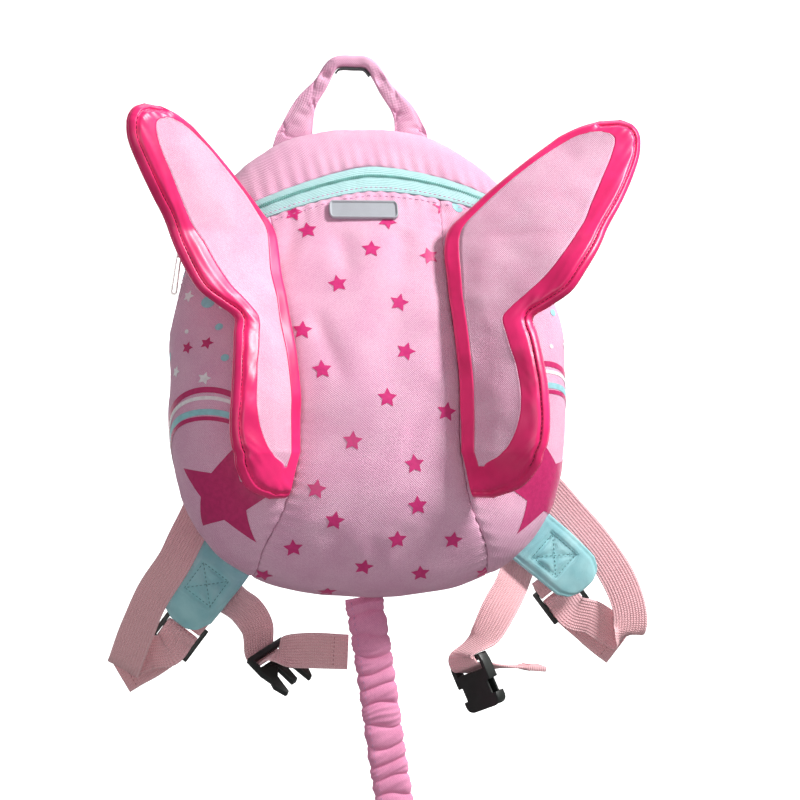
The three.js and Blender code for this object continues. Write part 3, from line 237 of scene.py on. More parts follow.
# Out and up where a fold starts, its direction out and up, its length, width and depth in mm;
# all but the direction and the depth are shares of the half-width, and up is a share of the height
FOLDS = [
    (-0.38, 0.45, -0.25, -1, 0.55, 0.055, 3.0),
    (-0.28, 0.44, -0.5, -1, 0.45, 0.05, 2.4),
    (0.34, 0.45, 0.2, -1, 0.5, 0.06, 2.2),
    (-0.16, 0.37, 0.1, -1, 0.34, 0.06, 1.8),
    (0.17, 0.37, -0.15, -1, 0.34, 0.06, 1.8),
    (-0.33, 0.2, 0.4, -1, 0.5, 0.05, 1.5),
    (0.3, 0.05, -0.5, -1, 0.5, 0.05, 1.3),
    (-0.3, -0.24, 0.55, -1, 0.5, 0.09, 1.9),
    (0.32, -0.22, -0.4, -1, 0.45, 0.09, 1.7),
    (0.05, -0.02, 0.12, 1, 0.8, 0.12, 1.4),
    (-0.02, -0.27, 0.05, -1, 0.32, 0.05, 1.0),
    (0.14, -0.25, -0.1, -1, 0.34, 0.05, 1.0),
]


def fold_depth(points):
    total = np.zeros(points.shape[:-1])
    for out, up, along_out, along_up, length, width, depth in FOLDS:
        along = unit(np.array([along_out, along_up], float))
        x, z = points[..., 0] - out * HALF_WIDTH, points[..., 2] - up * HEIGHT
        run = (x * along[0] + z * along[1]) / (length * HALF_WIDTH)
        aside = (x * along[1] - z * along[0]) / (width * HALF_WIDTH)
        total += depth * smooth(run, 0, 0.25) * (1 - smooth(run, 0.5, 1)) * np.exp(-(aside**2))
    return np.where(points[..., 1] > BACK_SEAM - 8, 0, total)


def ripple(points, seed, size, height):
    """Soft random waves of cloth: crossing waves that come and go over the surface."""
    dice = np.random.default_rng(seed)
    total = 0
    for k in range(7):
        ways = unit(dice.normal(size=(2, 3)))
        phase = dice.uniform(0, FULL_TURN, 2)
        wave = np.sin(points @ ways[0] * FULL_TURN / (size * (0.7 + 0.15 * k)) + phase[0])
        total = total + wave * np.sin(points @ ways[1] * FULL_TURN / (size * 2.7) + phase[1])
    return height * total / 3


def puckers(distance, along, height, reach=5.0, pitch=6.5):
    """Small gathers that a row of stitches pulls into the cloth beside it."""
    return height * np.exp(-distance / reach) * np.sin(FULL_TURN * along / pitch + 1.7 * np.sin(along / 19))


# Materials


class Field:
    """A value of a material's node tree, so that the maths of a pattern reads as a formula."""

    def __init__(self, paint, socket):
        self.paint, self.socket = paint, socket

    def maths(self, operation, other=None, first=None):
        pair = [first if first is not None else self]
        pair += [other] if other is not None else []
        pair += [self] if first is not None else []
        return self.paint.node("Math", {"operation": operation}, dict(enumerate(pair)))

    def __add__(self, other):
        return self.maths("ADD", other)

    def __mul__(self, other):
        return self.maths("MULTIPLY", other)

    def __sub__(self, other):
        return self.maths("SUBTRACT", other)

    def __rsub__(self, other):
        return self.maths("SUBTRACT", first=other)

    __radd__, __rmul__ = __add__, __mul__

    def sine(self):
        return self.maths("SINE")

    def size(self):
        return self.maths("ABSOLUTE")

    def step(self, low, high):
        settings = {"interpolation_type": "SMOOTHSTEP"}
        return self.paint.node("MapRange", settings, {"Value": self, "From Min": low, "From Max": high})


class Paint:
    """A material that is written as formulas over the piece's own coordinates."""

    def __init__(self, name):
        self.material = bpy.data.materials.new(name)
        self.material.use_nodes = True
        self.tree = self.material.node_tree
        self.shader = self.tree.nodes["Principled BSDF"]

    def node(self, kind, settings=None, inputs=None, output=0):
        node = self.tree.nodes.new("ShaderNode" + kind)
        for name, value in (settings or {}).items():
            setattr(node, name, value)
        for name, value in (inputs or {}).items():
            self.feed(node.inputs[name], value)
        return Field(self, node.outputs[output])

    def feed(self, socket, value):
        if isinstance(value, Field):
            self.tree.links.new(value.socket, socket)
        else:
            socket.default_value = value

    def parts(self, vector):
        node = self.tree.nodes.new("ShaderNodeSeparateXYZ")
        self.tree.links.new(vector.socket, node.inputs[0])
        return [Field(self, out) for out in node.outputs]

    def place(self):
        return self.node("TexCoord", output="Object")

    def cloth(self):
        """Millimetres across and along the cloth."""
        return self.parts(self.node("UVMap", {"uv_map": "cloth"}))[:2]

    def noise(self, scale, detail=3.0, rough=0.5):
        inputs = {"Vector": self.place(), "Scale": scale, "Detail": detail, "Roughness": rough}
        return self.node("TexNoise", None, inputs)

    def blend(self, factor, low, high):
        colours = {0: factor, 6: low, 7: high}
        return self.node("Mix", {"data_type": "RGBA"}, colours, output=2)

    def finish(self, colour, roughness, height=None, relief=0.0003, strength=1.0, **constants):
        self.feed(self.shader.inputs["Base Color"], colour)
        self.feed(self.shader.inputs["Roughness"], roughness)
        for name, value in constants.items():
            self.shader.inputs[name.replace("_", " ")].default_value = value
        if height is not None:
            bump = self.node("Bump", None, {"Strength": strength, "Distance": relief, "Height": height})
            self.feed(self.shader.inputs["Normal"], bump)
        return self.material


def colour(code, gain=1.0):
    """Scene-linear colour from a screen colour."""
    parts = [int(code[k : k + 2], 16) / 255 for k in (0, 2, 4)]
    linear = [c / 12.92 if c <= 0.04045 else ((c + 0.055) / 1.055) ** 2.4 for c in parts]
    return (*[min(1, c * gain) for c in linear], 1)


def woven(name, light, dark, thread=1.25):
    """Plain weave: crossing threads, a soft mottle and a slight nap."""
    p = Paint(name)
    u, v = p.cloth()
    warp, weft = (u * (FULL_TURN / thread)).sine(), (v * (FULL_TURN / thread)).sine()
    threads = warp * weft
    mottle = p.noise(55, 4).step(0.3, 0.7)
    shade = mottle * 0.3 + threads * 0.3 + 0.35 + p.noise(1300, 2).step(0.35, 0.65) * 0.3 - 0.15
    base = p.blend(shade, colour(dark), colour(light))
    height = threads * 0.5 + p.noise(1400, 2) * 0.7
    rough = 0.82 + p.noise(200) * 0.1 - 0.05
    nap = {"Sheen_Weight": 0.15, "Sheen_Roughness": 0.5, "Specular_IOR_Level": 0.3}
    return p.finish(base, rough, height, 0.00025, **nap)


def coated(name, light, dark):
    """Glossy coated cloth with fine creases, its colour darker in their low parts as painted shade."""
    p = Paint(name)
    crease = p.noise(38, 3, 0.45)
    grain = p.noise(1100, 2)
    # Painted shade: the colour follows the crease height, darker where the surface sinks into a crease and
    # lighter on its raised parts.
    base = p.blend(crease.step(0.35, 0.65), colour(dark), colour(light))
    rough = 0.3 + crease * 0.12 + grain * 0.05
    height = crease.step(0.2, 0.8) + grain * 0.06
    return p.finish(base, rough, height, 0.0007, 0.5, Specular_IOR_Level=0.55)


def webbed(name, light, dark):
    """Webbing: fine ribs across, two plain edges and heavier cords along."""
    p = Paint(name)
    u, v = p.cloth()
    cords = (u * (FULL_TURN / 1.7)).sine()
    ribs = (v * (FULL_TURN / 1.1) + cords * 1.1).sine()
    edge = u.size().step(8.4, 9.0)
    shade = ribs * 0.2 + cords * 0.15 + 0.55 + edge * 0.25 + p.noise(500, 3) * 0.2 - 0.1
    base = p.blend(shade, colour(dark), colour(light))
    height = ribs * 0.5 + cords * 0.5 + p.noise(1500, 2) * 0.3
    rough = 0.7 + p.noise(300) * 0.12
    return p.finish(base, rough, height, 0.0003, Sheen_Weight=0.2, Specular_IOR_Level=0.35)


def quilted(name, light, dark):
    """Smooth pad cloth: a fine diagonal twill."""
    p = Paint(name)
    u, v = p.cloth()
    twill = ((u + v) * (FULL_TURN / 0.9)).sine()
    base = p.blend(p.noise(70, 4).step(0.3, 0.7) * 0.7 + twill * 0.1 + 0.15, colour(dark), colour(light))
    return p.finish(base, 0.75 + twill * 0.03, twill + p.noise(900, 2) * 0.6, 0.00015, Sheen_Weight=0.3)


def taped(name, light, dark):
    """Zip tape: narrow ribs along it."""
    p = Paint(name)
    u, v = p.cloth()
    ribs = (u * (FULL_TURN / 1.2)).sine() * 0.6 + (v * (FULL_TURN / 0.7)).sine() * 0.4
    base = p.blend(ribs * 0.3 + 0.5 + p.noise(300) * 0.2, colour(dark), colour(light))
    return p.finish(base, 0.8, ribs, 0.0002, Sheen_Weight=0.2)


def moulded(name, shade, roughness, grain, relief=0.00006, metal=0.0, wear=0.72):
    """Moulded or cast surface: even colour, slight grain and worn spots."""
    p = Paint(name)
    worn = p.noise(160, 5).step(0.35, 0.75)
    base = p.blend(worn, colour(shade, wear), colour(shade))
    rough = roughness + worn * 0.12 + p.noise(700) * 0.06
    return p.finish(base, rough, p.noise(grain, 3), relief, Metallic=metal)


def printed(name, shade, roughness=0.4):
    """Ink on the cloth: smoother than it, with its threads just showing."""
    p = Paint(name)
    tone = p.noise(400, 4).step(0.3, 0.7)
    base = p.blend(tone, colour(shade, 0.86), colour(shade))
    return p.finish(base, roughness + tone * 0.12, p.noise(1500, 2), 0.0001)


LOOK = {
    "body": woven("body_cloth", "FBCBE2", "E49FC4"),
    "inset": woven("wing_cloth", "FBCFE4", "E79EC0", thread=1.1),
    "border": coated("wing_coated", "FF2D7C", "E22069"),
    "tape": taped("zip_tape", "CCF6F7", "AADFE0"),
    "coil": moulded("zip_coil", "8ED6CE", 0.4, 900),
    "pad": quilted("pad_cloth", "BEF6FA", "92DCE4"),
    "web": webbed("webbing", "FFCFD4", "F5AEB6"),
    "lining": woven("handle_lining", "555B5C", "3C4142"),
    "rein": woven("rein_cloth", "FCAACE", "DE86B0"),
    "thread_body": moulded("body_thread", "E9A6D2", 0.7, 1500),
    "thread_dark": moulded("wing_thread", "740E34", 0.6, 1500),
    "thread_web": moulded("web_thread", "D98992", 0.7, 1500),
    "thread_pad": moulded("pad_thread", "86C2C8", 0.7, 1500),
    "label": moulded("label_rubber", "ADB1B8", 0.45, 1300, wear=0.94),
    "metal": moulded("zip_metal", "CFCFCC", 0.2, 500, 0.00003, 1.0),
    "plastic": moulded("black_plastic", "232826", 0.32, 1500),
    "ink_pink": printed("ink_pink", "DC3280", 0.3),
    "ink_white": printed("ink_white", "FBF3F8"),
    "ink_teal": printed("ink_teal", "9FD8E0"),
    "ink_deep": printed("ink_deep", "CE2F72", 0.3),
}

# Meshes


def grid(points, flat):
    """A bmesh grid through points[row, column] with the cloth's flat coordinates in its UV map."""
    bm = bmesh.new()
    rows, columns = points.shape[:2]
    bmesh.ops.create_grid(bm, x_segments=columns - 1, y_segments=rows - 1, size=0.5)
    spots = metres(points)
    where = []
    for vert in bm.verts:
        cell = round((vert.co.y + 0.5) * (rows - 1)), round((vert.co.x + 0.5) * (columns - 1))
        where.append(cell)
        vert.co = spots[cell]
    bm.verts.index_update()
    layer = bm.loops.layers.uv.new("cloth")
    for face in bm.faces:
        for loop in face.loops:
            loop[layer].uv = flat[where[loop.vert.index]]
    bm.normal_update()
    return bm


def face_out(bm, outward):
    """Turns an open sheet's faces to the side that outward(point in metres) names."""
    faces = bm.faces[:]
    sample = faces[:: max(1, len(faces) // 200)]
    turned = sum(face.normal.dot(outward(face.calc_center_median())) for face in sample)
    if turned < 0:
        bmesh.ops.reverse_faces(bm, faces=faces)
        bm.normal_update()


def close_tube(bm):
    bmesh.ops.remove_doubles(bm, verts=bm.verts, dist=1e-6)
    bmesh.ops.holes_fill(bm, edges=bm.edges, sides=0)
    bmesh.ops.recalc_face_normals(bm, faces=bm.faces)


def make(name, bm, look, nodes=(), body="pack", wall=0.0, crisp=False):
    """A finished piece: mesh, material, wall thickness in mm, and what it stands for."""
    mesh = bpy.data.meshes.new(name)
    bm.to_mesh(mesh)
    bm.free()
    mesh.materials.append(LOOK[look])
    mesh.shade_smooth()
    if crisp:
        mesh.set_sharp_from_angle(angle=math.radians(40))
    piece = bpy.data.objects.new(name, mesh)
    bpy.context.scene.collection.objects.link(piece)
    if wall:
        solid = piece.modifiers.new("wall", "SOLIDIFY")
        solid.thickness, solid.offset = wall / 1000, -1
    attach(piece, body)
    if nodes:
        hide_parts(*nodes)
    return piece


def flat_of(points):
    """Flat millimetres of a grid: across from its middle column and along its middle column."""
    rows, columns = points.shape[:2]
    across = np.concatenate(
        [np.zeros((rows, 1)), np.cumsum(np.linalg.norm(np.diff(points, axis=1), axis=2), axis=1)], 1
    )
    along = run_of(points[:, columns // 2])[:, None] + np.zeros((1, columns))
    return np.stack([across - across[:, columns // 2 : columns // 2 + 1], along], -1)


def at_run(mark, run, values):
    """The values of a path at a length along it."""
    return np.array([np.interp(mark, run, column) for column in values.T])


def stitches(name, path, outward, look, spacing=3.3, long=2.3, thick=0.3):
    """A row of single stitches lying on a path."""
    run = run_of(path)
    count = int(run[-1] // spacing)
    marks = (np.arange(count) + 0.5) * run[-1] / max(count, 1)
    bm = bmesh.new()
    for mark in marks:
        here, ahead = at_run(mark, run, path), at_run(mark + 0.4, run, path)
        normal = unit(at_run(mark, run, outward))
        along = unit(ahead - here)
        aside = unit(np.cross(normal, along))
        spot = metres(here + normal * thick * 0.35)
        axes = np.stack([along * long / 2, aside * thick, normal * thick], 1) / 1000
        turn = Matrix(np.vstack([np.hstack([axes, spot[:, None]]), [0, 0, 0, 1]]).tolist())
        bmesh.ops.create_uvsphere(bm, u_segments=6, v_segments=4, radius=1, matrix=turn)
    bmesh.ops.recalc_face_normals(bm, faces=bm.faces)
    make(name, bm, look)


# Body panels

SKINS = {}
PUFF = 1.5


def coons(top, bottom, left, right, s, t):
    s, t = s[None, :, None], t[:, None, None]
    across = left[:, None] * (1 - s) + right[:, None] * s
    down = top[None] * (1 - t) + bottom[None] * t
    corners = (top[0] * (1 - s) + top[-1] * s) * (1 - t) + (bottom[0] * (1 - s) + bottom[-1] * s) * t
    return on_bag(across + down - corners)


def dressed(points, seed, calm):
    """Adds the puff between seams, the folds, the soft waves and the puckers along all four edges."""
    rows, columns = points.shape[:2]
    normal = bag_normal(points)
    s, t = np.linspace(0, 1, columns)[None], np.linspace(0, 1, rows)[:, None]
    inside = np.sqrt(np.maximum(0, 16 * s * (1 - s) * t * (1 - t)))
    flat = flat_of(points)
    wide, tall = np.ptp(flat[..., 0], axis=1)[:, None], np.ptp(flat[..., 1])
    lift = PUFF * inside - fold_depth(points) * np.minimum(1, 2 * inside)
    lift += ripple(points, seed, 46, 0.9 * calm) * np.minimum(1, 2 * inside)
    lift += ripple(points, seed + 50, 19, 0.2 * calm)
    for edge in (s * wide, (1 - s) * wide):
        lift += puckers(edge, flat[..., 1] + 0 * edge, 0.42) - 0.5 * np.exp(-edge / 1.6)
    for edge in (t * tall, (1 - t) * tall):
        lift += puckers(edge + 0 * s, flat[..., 0], 0.42, 7.0, 7.5) - 0.5 * np.exp(-edge / 1.6)
    return points + normal * lift[..., None], normal, flat


def away_from_core(spot):
    return spot - Vector(metres(CORE))


def panel(name, points, seed, node, sewn=True, calm=1.0):
    """A cloth panel, with a row of stitches along its top where it is sewn there."""
    points, normal, flat = dressed(points, seed, calm)
    bm = grid(points, flat)
    face_out(bm, away_from_core)
    SKINS[name] = BVHTree.FromBMesh(bm)
    if sewn:
        stitches(f"{name}_stitches_0", points[2, 2:-2], normal[2, 2:-2], "thread_body")
    make(name, bm, "body", (node,), wall=1.3)


def build_body():
    s, t = np.linspace(0, 1, 101), np.linspace(0, 1, 171)
    left, right = seam_line("left", t), seam_line("right", t)
    top = zip_point(mix(SEAM_TOP["left"], SEAM_TOP["right"], s), LOWER_EDGE)
    bottom = back_seam(mix(360 - CORNER, CORNER, s))
    front = coons(top, bottom, left, right, s, t)
    panel("front_cloth", front, 3, "front_panel")

    # The side panels stop just before the corner where their two seams meet
    short = 0.996
    s = np.linspace(0, 1, 81)
    for side, sign in SIDES.items():
        seam = seam_line(side, t * short)
        rim = back_seam(mix(SEAM_END[side], sign * CORNER, t * short))
        top = zip_point(mix(SEAM_TOP[side], sign * ZIP_END, s), LOWER_EDGE)
        bottom = mix(seam[-1], rim[-1], s[:, None])
        points = coons(top, bottom, seam, rim, s, t)
        panel(f"side_cloth_{side}", points, 11 + sign, f"side_panel_{side}", calm=1.2)

    ends = [angle_of(zip_point(sign * ZIP_END, UPPER_EDGE)) for sign in SIDES.values()]
    s, t = np.linspace(0, 1, 201), np.linspace(0, 1, 61)
    top = back_seam(mix(ends[0], ends[1], s))
    bottom = zip_point(mix(-ZIP_END, ZIP_END, s), UPPER_EDGE)
    edges = [
        mix(back_seam(end), zip_point(sign * ZIP_END, UPPER_EDGE), t[:, None])
        for end, sign in zip(ends, SIDES.values())
    ]
    points = coons(top, bottom, *edges, s, t)
    panel("top_cloth", points, 23, "top_panel", sewn=False)


BACK_RINGS, BACK_SEWN = 64, 0.86


def build_back():
    """The padded back: a crowned panel inside its seam, with a sewn line near its edge."""
    turn = np.linspace(0, 360, 201)
    share = np.linspace(0, 1, BACK_RINGS)[:, None, None]
    middle = np.array([0, BACK_DEPTH, 0.08 * HEIGHT])
    rim = back_seam(turn)
    base = on_bag(middle + (rim[None] - middle) * share)
    normal = bag_normal(base)
    normal[0] = (0, 1, 0)
    share = share[..., 0]
    lift = 1.1 * np.sqrt(np.maximum(0, 1 - share**6)) - 1.0 * np.exp(-(((share - BACK_SEWN) / 0.012) ** 2))
    lift = lift + ripple(base, 31, 60, 0.3) * (1 - share**4) - 0.5
    points = base + normal * lift[..., None]
    points[:, -1] = points[:, 0]
    flat = np.stack([points[..., 0], points[..., 2]], -1)
    bm = grid(points, flat)
    bmesh.ops.remove_doubles(bm, verts=bm.verts, dist=1e-6)
    face_out(bm, away_from_core)
    back = make("back_pad", bm, "body", ("back_panel",), wall=1.5)
    line = int(BACK_SEWN * (BACK_RINGS - 1))
    stitches("back_pad_stitches", points[line], normal[line], "thread_body", spacing=4.0)


# Prints


FRONT_STAR, SIDE_STAR_TURN = 5.6, 106
INK_LIFT = 0.00024


def star(radius, turn):
    angles = turn + np.arange(10) * 36
    reach = np.where(np.arange(10) % 2 == 0, radius, radius * 0.5)
    return [(r * math.cos(math.radians(a)), r * math.sin(math.radians(a))) for r, a in zip(reach, angles)]


def disc(radius):
    return [(radius * math.cos(a), radius * math.sin(a)) for a in np.linspace(0, FULL_TURN, 24)[:-1]]


def band(middle, wide):
    """A strip's outline round its middle line."""
    middle = np.asarray(middle, float)
    way = unit(np.gradient(middle, axis=0))
    aside = np.stack([-way[:, 1], way[:, 0]], 1) * wide / 2
    return [tuple(p) for p in np.vstack([middle + aside, (middle - aside)[::-1]])]


def print_on(skin, name, outlines, place, look, cuts=6):
    """Lays flat outlines, in mm, on a skin; place(a, b) gives the smooth point below each corner."""
    bm = bmesh.new()
    for outline in outlines:
        corners = [bm.verts.new((a, b, 0)) for a, b in outline]
        bmesh.ops.triangulate(bm, faces=[bm.faces.new(corners)])
    bmesh.ops.subdivide_edges(bm, edges=bm.edges, cuts=cuts, use_grid_fill=True)
    flat = np.array([vert.co[:2] for vert in bm.verts])
    base = place(flat[:, 0], flat[:, 1])
    normal = bag_normal(base)
    for vert, spot, way in zip(bm.verts[:], metres(base), normal):
        way = Vector(way)
        hit = SKINS[skin].ray_cast(Vector(spot) + way * 0.02, -way, 0.05)
        if hit[0] is None:
            bm.verts.remove(vert)
        else:
            vert.co = hit[0] + hit[1] * INK_LIFT
    bm.normal_update()
    face_out(bm, away_from_core)
    make(name, bm, look)


# Across, up and the turn in degrees of each star on the front
FRONT_STARS = [
    (-43.1, 104.5, 80), (-35.6, 94.1, 95), (8.9, 99.0, 60), (41.0, 108.9, 100), (-1.2, 82.3, 85),
    (31.1, 79.2, 105), (-20.5, 63.5, 100), (12.6, 53.1, 75), (-40.8, 37.5, 85), (15.1, 26.6, 70),
    (-30.9, 16.2, 95), (4.0, 1.1, 88), (36.5, -6.5, 80), (-15.0, -22.1, 85), (18.4, -34.6, 95),
    (-34.4, -47.9, 80), (20.3, -56.8, 95), (-24.4, -64.8, 80), (10.0, -75.4, 92), (41.3, -76.4, 85),
    (-45.8, -79.7, 95), (-7.3, -90.5, 80), (-60.3, -95.7, 70), (24.5, -94.4, 96), (62.1, -95.8, 85),
    (-25.2, -105.0, 90),
]  # fmt: skip

# The form, the turn from straight ahead in degrees, the height and the radius of each side print
SIDE_PRINTS = {
    "left": {
        "ink_white": [("star", 82.1, 56.9, 3.6), ("star", 84, 15.4, 3.6), ("star", 73.4, 11.4, 3.6)]
        + [("spot", 72.2, 50.9, 1.2), ("spot", 80.7, 37.4, 1.2), ("star", 97, 38, 3.6)]
        + [("spot", 92, 58, 1.4)],
        "ink_teal": [("spot", 75.8, 53.3, 3.2), ("spot", 71.7, 39.6, 1.9), ("spot", 68.6, 22.3, 1.9)]
        + [("spot", 93, 24, 2.6), ("spot", 103, 50, 2.4), ("spot", 104, -72, 2.4)],
        "ink_deep": [("star", 80, 28.5, 3.6), ("star", 74.1, 30.6, 3.6), ("star", 100, 12, 3.6)]
        + [("star", 68.8, -52, 26.5)],
    },
    "right": {
        "ink_white": [("star", 85.6, 31, 3.6), ("spot", 78.1, 29.5, 1.2), ("star", 96, 52, 3.6)],
        "ink_teal": [("spot", 66, 107.9, 2.8), ("spot", 81, 48.2, 2.0), ("spot", 94, 28, 2.6)]
        + [("spot", 104, -66, 2.4)],
        "ink_deep": [("star", 100, 14, 3.6), ("star", 76, -48, 27)],
    },
}
# The arch's turn in degrees and the height of its peak; then each band's ink, way in and width
ARCH = {"left": (72.3, 5.4), "right": (75.0, 20.0)}
ARCH_BANDS = [("ink_deep", 0.0, 3.0), ("ink_white", 4.3, 2.0)]
ARCH_BANDS += [("ink_teal", 11.9, 3.2), ("ink_deep", 15.4, 2.2)]
ARCH_HALF, ARCH_RISE = 34, 44
MM_PER_DEGREE = 1.83


def build_prints():
    stars = []
    for x, z, turn in FRONT_STARS:
        lean_x, _, lean_z = np.sqrt(1 - bag_normal(front_surface([x], [z]))[0] ** 2)
        stars.append([(x + a * lean_x, z + b * lean_z) for a, b in star(FRONT_STAR, turn)])
    print_on("front_cloth", "front_stars", stars, front_surface, "ink_pink")
    for side, sign in SIDES.items():
        skin = f"side_cloth_{side}"

        def place(a, b, sign=sign):
            return side_surface(a / MM_PER_DEGREE, b, sign)

        for ink, marks in SIDE_PRINTS[side].items():
            outlines = []
            for kind, turn, up, radius in marks:
                shape = star(radius, SIDE_STAR_TURN) if kind == "star" else disc(radius)
                outlines.append([(turn * MM_PER_DEGREE + a, up + b) for a, b in shape])
            print_on(skin, f"{side}_prints_{ink}", outlines, place, ink)
        turn, peak = ARCH[side]
        for k, (ink, inward, wide) in enumerate(ARCH_BANDS):
            sweep = np.radians(np.linspace(-38, 84, 36))
            a = turn * MM_PER_DEGREE + (ARCH_HALF - 0.1 * inward) * np.sin(sweep)
            b = peak - ARCH_RISE + (ARCH_RISE - inward) * np.cos(sweep)
            print_on(skin, f"{side}_arch_{k}", [band(np.stack([a, b], 1), wide)], place, ink, 2)


# Zip


COIL_PITCH, COIL_STEPS = 1.25, 12
COIL_HALF, COIL_RISE, COIL_WIRE = 1.05, 0.5, 0.27


def build_zip():
    angles = np.linspace(-ZIP_END, ZIP_END, 361)
    for name, node, low, high in (
        ("zip_tape_top", "zip_tape_upper", 0.4, UPPER_EDGE),
        ("zip_tape_bottom", "zip_tape_lower", LOWER_EDGE, -0.4),
    ):
        points = np.stack([zip_point(angles, above) for above in np.linspace(low, high, 9)], 1)
        normal = bag_normal(points)
        share = np.linspace(0, 1, 9)[None]
        bulge = 0.3 * np.sin(math.pi * share) - 0.15 + 0.1 * np.sin(run_of(points[:, 4])[:, None] / 2.2)
        points = points + normal * bulge[..., None]
        bm = grid(points, flat_of(points))
        face_out(bm, away_from_core)
        make(name, bm, "tape", (node,), wall=0.9)
        if low < 0:
            stitches("zip_stitches", points[4:-4, 2], normal[4:-4, 2], "thread_body", 2.8, 1.9, 0.25)

    line = zip_point(angles)
    run = run_of(line)
    count = int(run[-1] / COIL_PITCH * COIL_STEPS)
    marks = np.linspace(0, run[-1], count)
    middle = np.stack([np.interp(marks, run, line[:, k]) for k in range(3)], 1)
    along = unit(np.gradient(middle, axis=0))
    normal = bag_normal(middle)
    aside = unit(np.cross(normal, along))
    turn = marks / COIL_PITCH * FULL_TURN
    proud = COIL_RISE * np.cos(turn) + 0.1
    coil = middle + aside * (COIL_HALF * np.sin(turn))[:, None] + normal * proud[:, None]
    way = unit(np.gradient(coil, axis=0))
    first = unit(np.cross(way, normal))
    second = np.cross(way, first)
    around = np.linspace(0, FULL_TURN, 6)
    points = coil[:, None] + COIL_WIRE * (
        first[:, None] * np.cos(around)[None, :, None] + second[:, None] * np.sin(around)[None, :, None]
    )
    points[:, -1] = points[:, 0]
    bm = grid(points, flat_of(points))
    close_tube(bm)
    make("zip_teeth", bm, "coil", ("zip_coil",))


# Label


def build_label():
    """A thin rubber plate with a raised rim, left bare."""
    wide, tall, corner, across = 39.0, 10.6, 3.4, -4.0
    v, u = np.meshgrid(np.linspace(-1, 1, 41), np.linspace(-1, 1, 121), indexing="ij")
    into = np.maximum(0, np.abs(v) * tall / 2 - tall / 2 + corner) / corner
    half = wide / 2 - corner + corner * np.sqrt(np.maximum(0, 1 - into**2))
    x, z = across + u * half, ZIP_HEIGHT - 21 + v * tall / 2
    base = front_surface(x, z)
    normal = bag_normal(base)
    edge = np.minimum((1 - np.abs(u)) * half, (1 - np.abs(v)) * tall / 2)
    rim = smooth(edge, 0, 0.5) * (1 - smooth(edge, 1.1, 1.5))
    lift = 1.05 + 1.1 * np.sqrt(smooth(edge, -0.05, 0.5)) + 0.9 * rim
    points = base + normal * lift[..., None]
    bm = grid(points, flat_of(points))
    face_out(bm, away_from_core)
    make("label_rubber", bm, "label", ("label_plate",), wall=1.0)


# Wings

WING_REACH, WING_HEIGHT, WING_FOOT = 102.0, 204.0, 53.0
# The turn at the foot and at the tip in degrees, the tip's lift, the reach's share, the stand-off
WING_POSE = {"left": (33, 38, 7, 1.0, 1.9), "right": (31, 8, 6, 1.06, 2.6)}
# Height, root, the pane's inner and outer edges and the tip, as shares of the height and the reach
WING_ROWS = np.array([
    (1, 0.83, 0.85, 0.88, 0.9), (0.987, 0.72, 0.76, 0.9, 0.96), (0.968, 0.63, 0.765, 0.8, 0.99),
    (0.96, 0.6, 0.7, 0.838, 0.995), (0.946, 0.56, 0.64, 0.855, 1), (0.9, 0.43, 0.49, 0.82, 0.985),
    (0.838, 0.275, 0.33, 0.755, 0.93), (0.77, 0.125, 0.19, 0.685, 0.85), (0.721, 0.03, 0.11, 0.64, 0.785),
    (0.66, 0, 0.09, 0.56, 0.71), (0.6, 0, 0.09, 0.47, 0.63), (0.545, 0, 0.09, 0.36, 0.55),
    (0.505, 0, 0.09, 0.29, 0.465),
    (0.475, 0, 0.09, 0.265, 0.402), (0.43, 0, 0.09, 0.28, 0.42), (0.345, 0, 0.09, 0.32, 0.445),
    (0.235, 0, 0.09, 0.335, 0.465), (0.15, 0, 0.085, 0.275, 0.45), (0.115, 0, 0.085, 0.215, 0.42),
    (0.085, 0, 0.085, 0.115, 0.385), (0.03, 0, 0.07, 0.13, 0.27), (0, 0.01, 0.05, 0.08, 0.11),
])  # fmt: skip
WING_SHARES = (0, 0.1, 0.3, 0.475, 0.55, 0.64, 0.73, 0.82, 0.91, 1)
# At those shares of the height, how far the pane's outer edge and the tip move out
WING_FIT = {
    "left": (
        (0, -1.5, -2.3, -3.6, -1, -5, -1.7, 2.4, 4, 0),
        (0, -2.5, -4, -6.5, -1, -4, -5, -1.4, 2.3, 0.5),
    ),
    "right": (
        (0, 0, 0, 2, 9, 11, 10, 7, 5, 2),
        (0, 0, 0, 2, 11, 11.5, 8, 5, 3.5, 2.5),
    ),
}
WING_STEPS = 8
WINDOW = (2 * WING_STEPS, 19 * WING_STEPS)
INNER, PANE, OUTER = 12, 26, 24
NOTCH = 0.475
EDGE_SEAM = 3.2


def distance_to(across, up, line, closed=True):
    """The shortest way from each point of a flat form to a line."""
    start, end = line, np.roll(line, -1, 0)
    if not closed:
        start, end = start[:-1], end[:-1]
    way = end - start
    spot = np.stack([across, up], -1)[..., None, :]
    share = np.clip(((spot - start) * way).sum(-1) / np.maximum((way**2).sum(-1), 1e-9), 0, 1)
    return np.linalg.norm(spot - start - share[..., None] * way, axis=-1).min(-1)


def wing_place(side, across, up, off):
    low, high, tip_lift, _, stand_off = WING_POSE[side]
    share = np.clip((up + WING_FOOT) / WING_HEIGHT, 0, 1)
    angle = np.radians(mix(low, high, smooth(share, 0.55, 0.95)))
    below = np.minimum(up, SEAM_ROWS[0, 0] * HEIGHT)
    base = front_surface(seam_across(side, below), below)
    base = base + bag_normal(base) * stand_off
    notch = NOTCH * WING_HEIGHT - WING_FOOT
    lift = tip_lift * smooth(up, notch, WING_HEIGHT - WING_FOOT) * across / WING_REACH
    x = base[..., 0] + SIDES[side] * (across * np.cos(angle) - off * np.sin(angle))
    y = base[..., 1] + 0.2 * (up - below) - (across * np.sin(angle) + off * np.cos(angle))
    return np.stack([x, y, up + lift], -1)


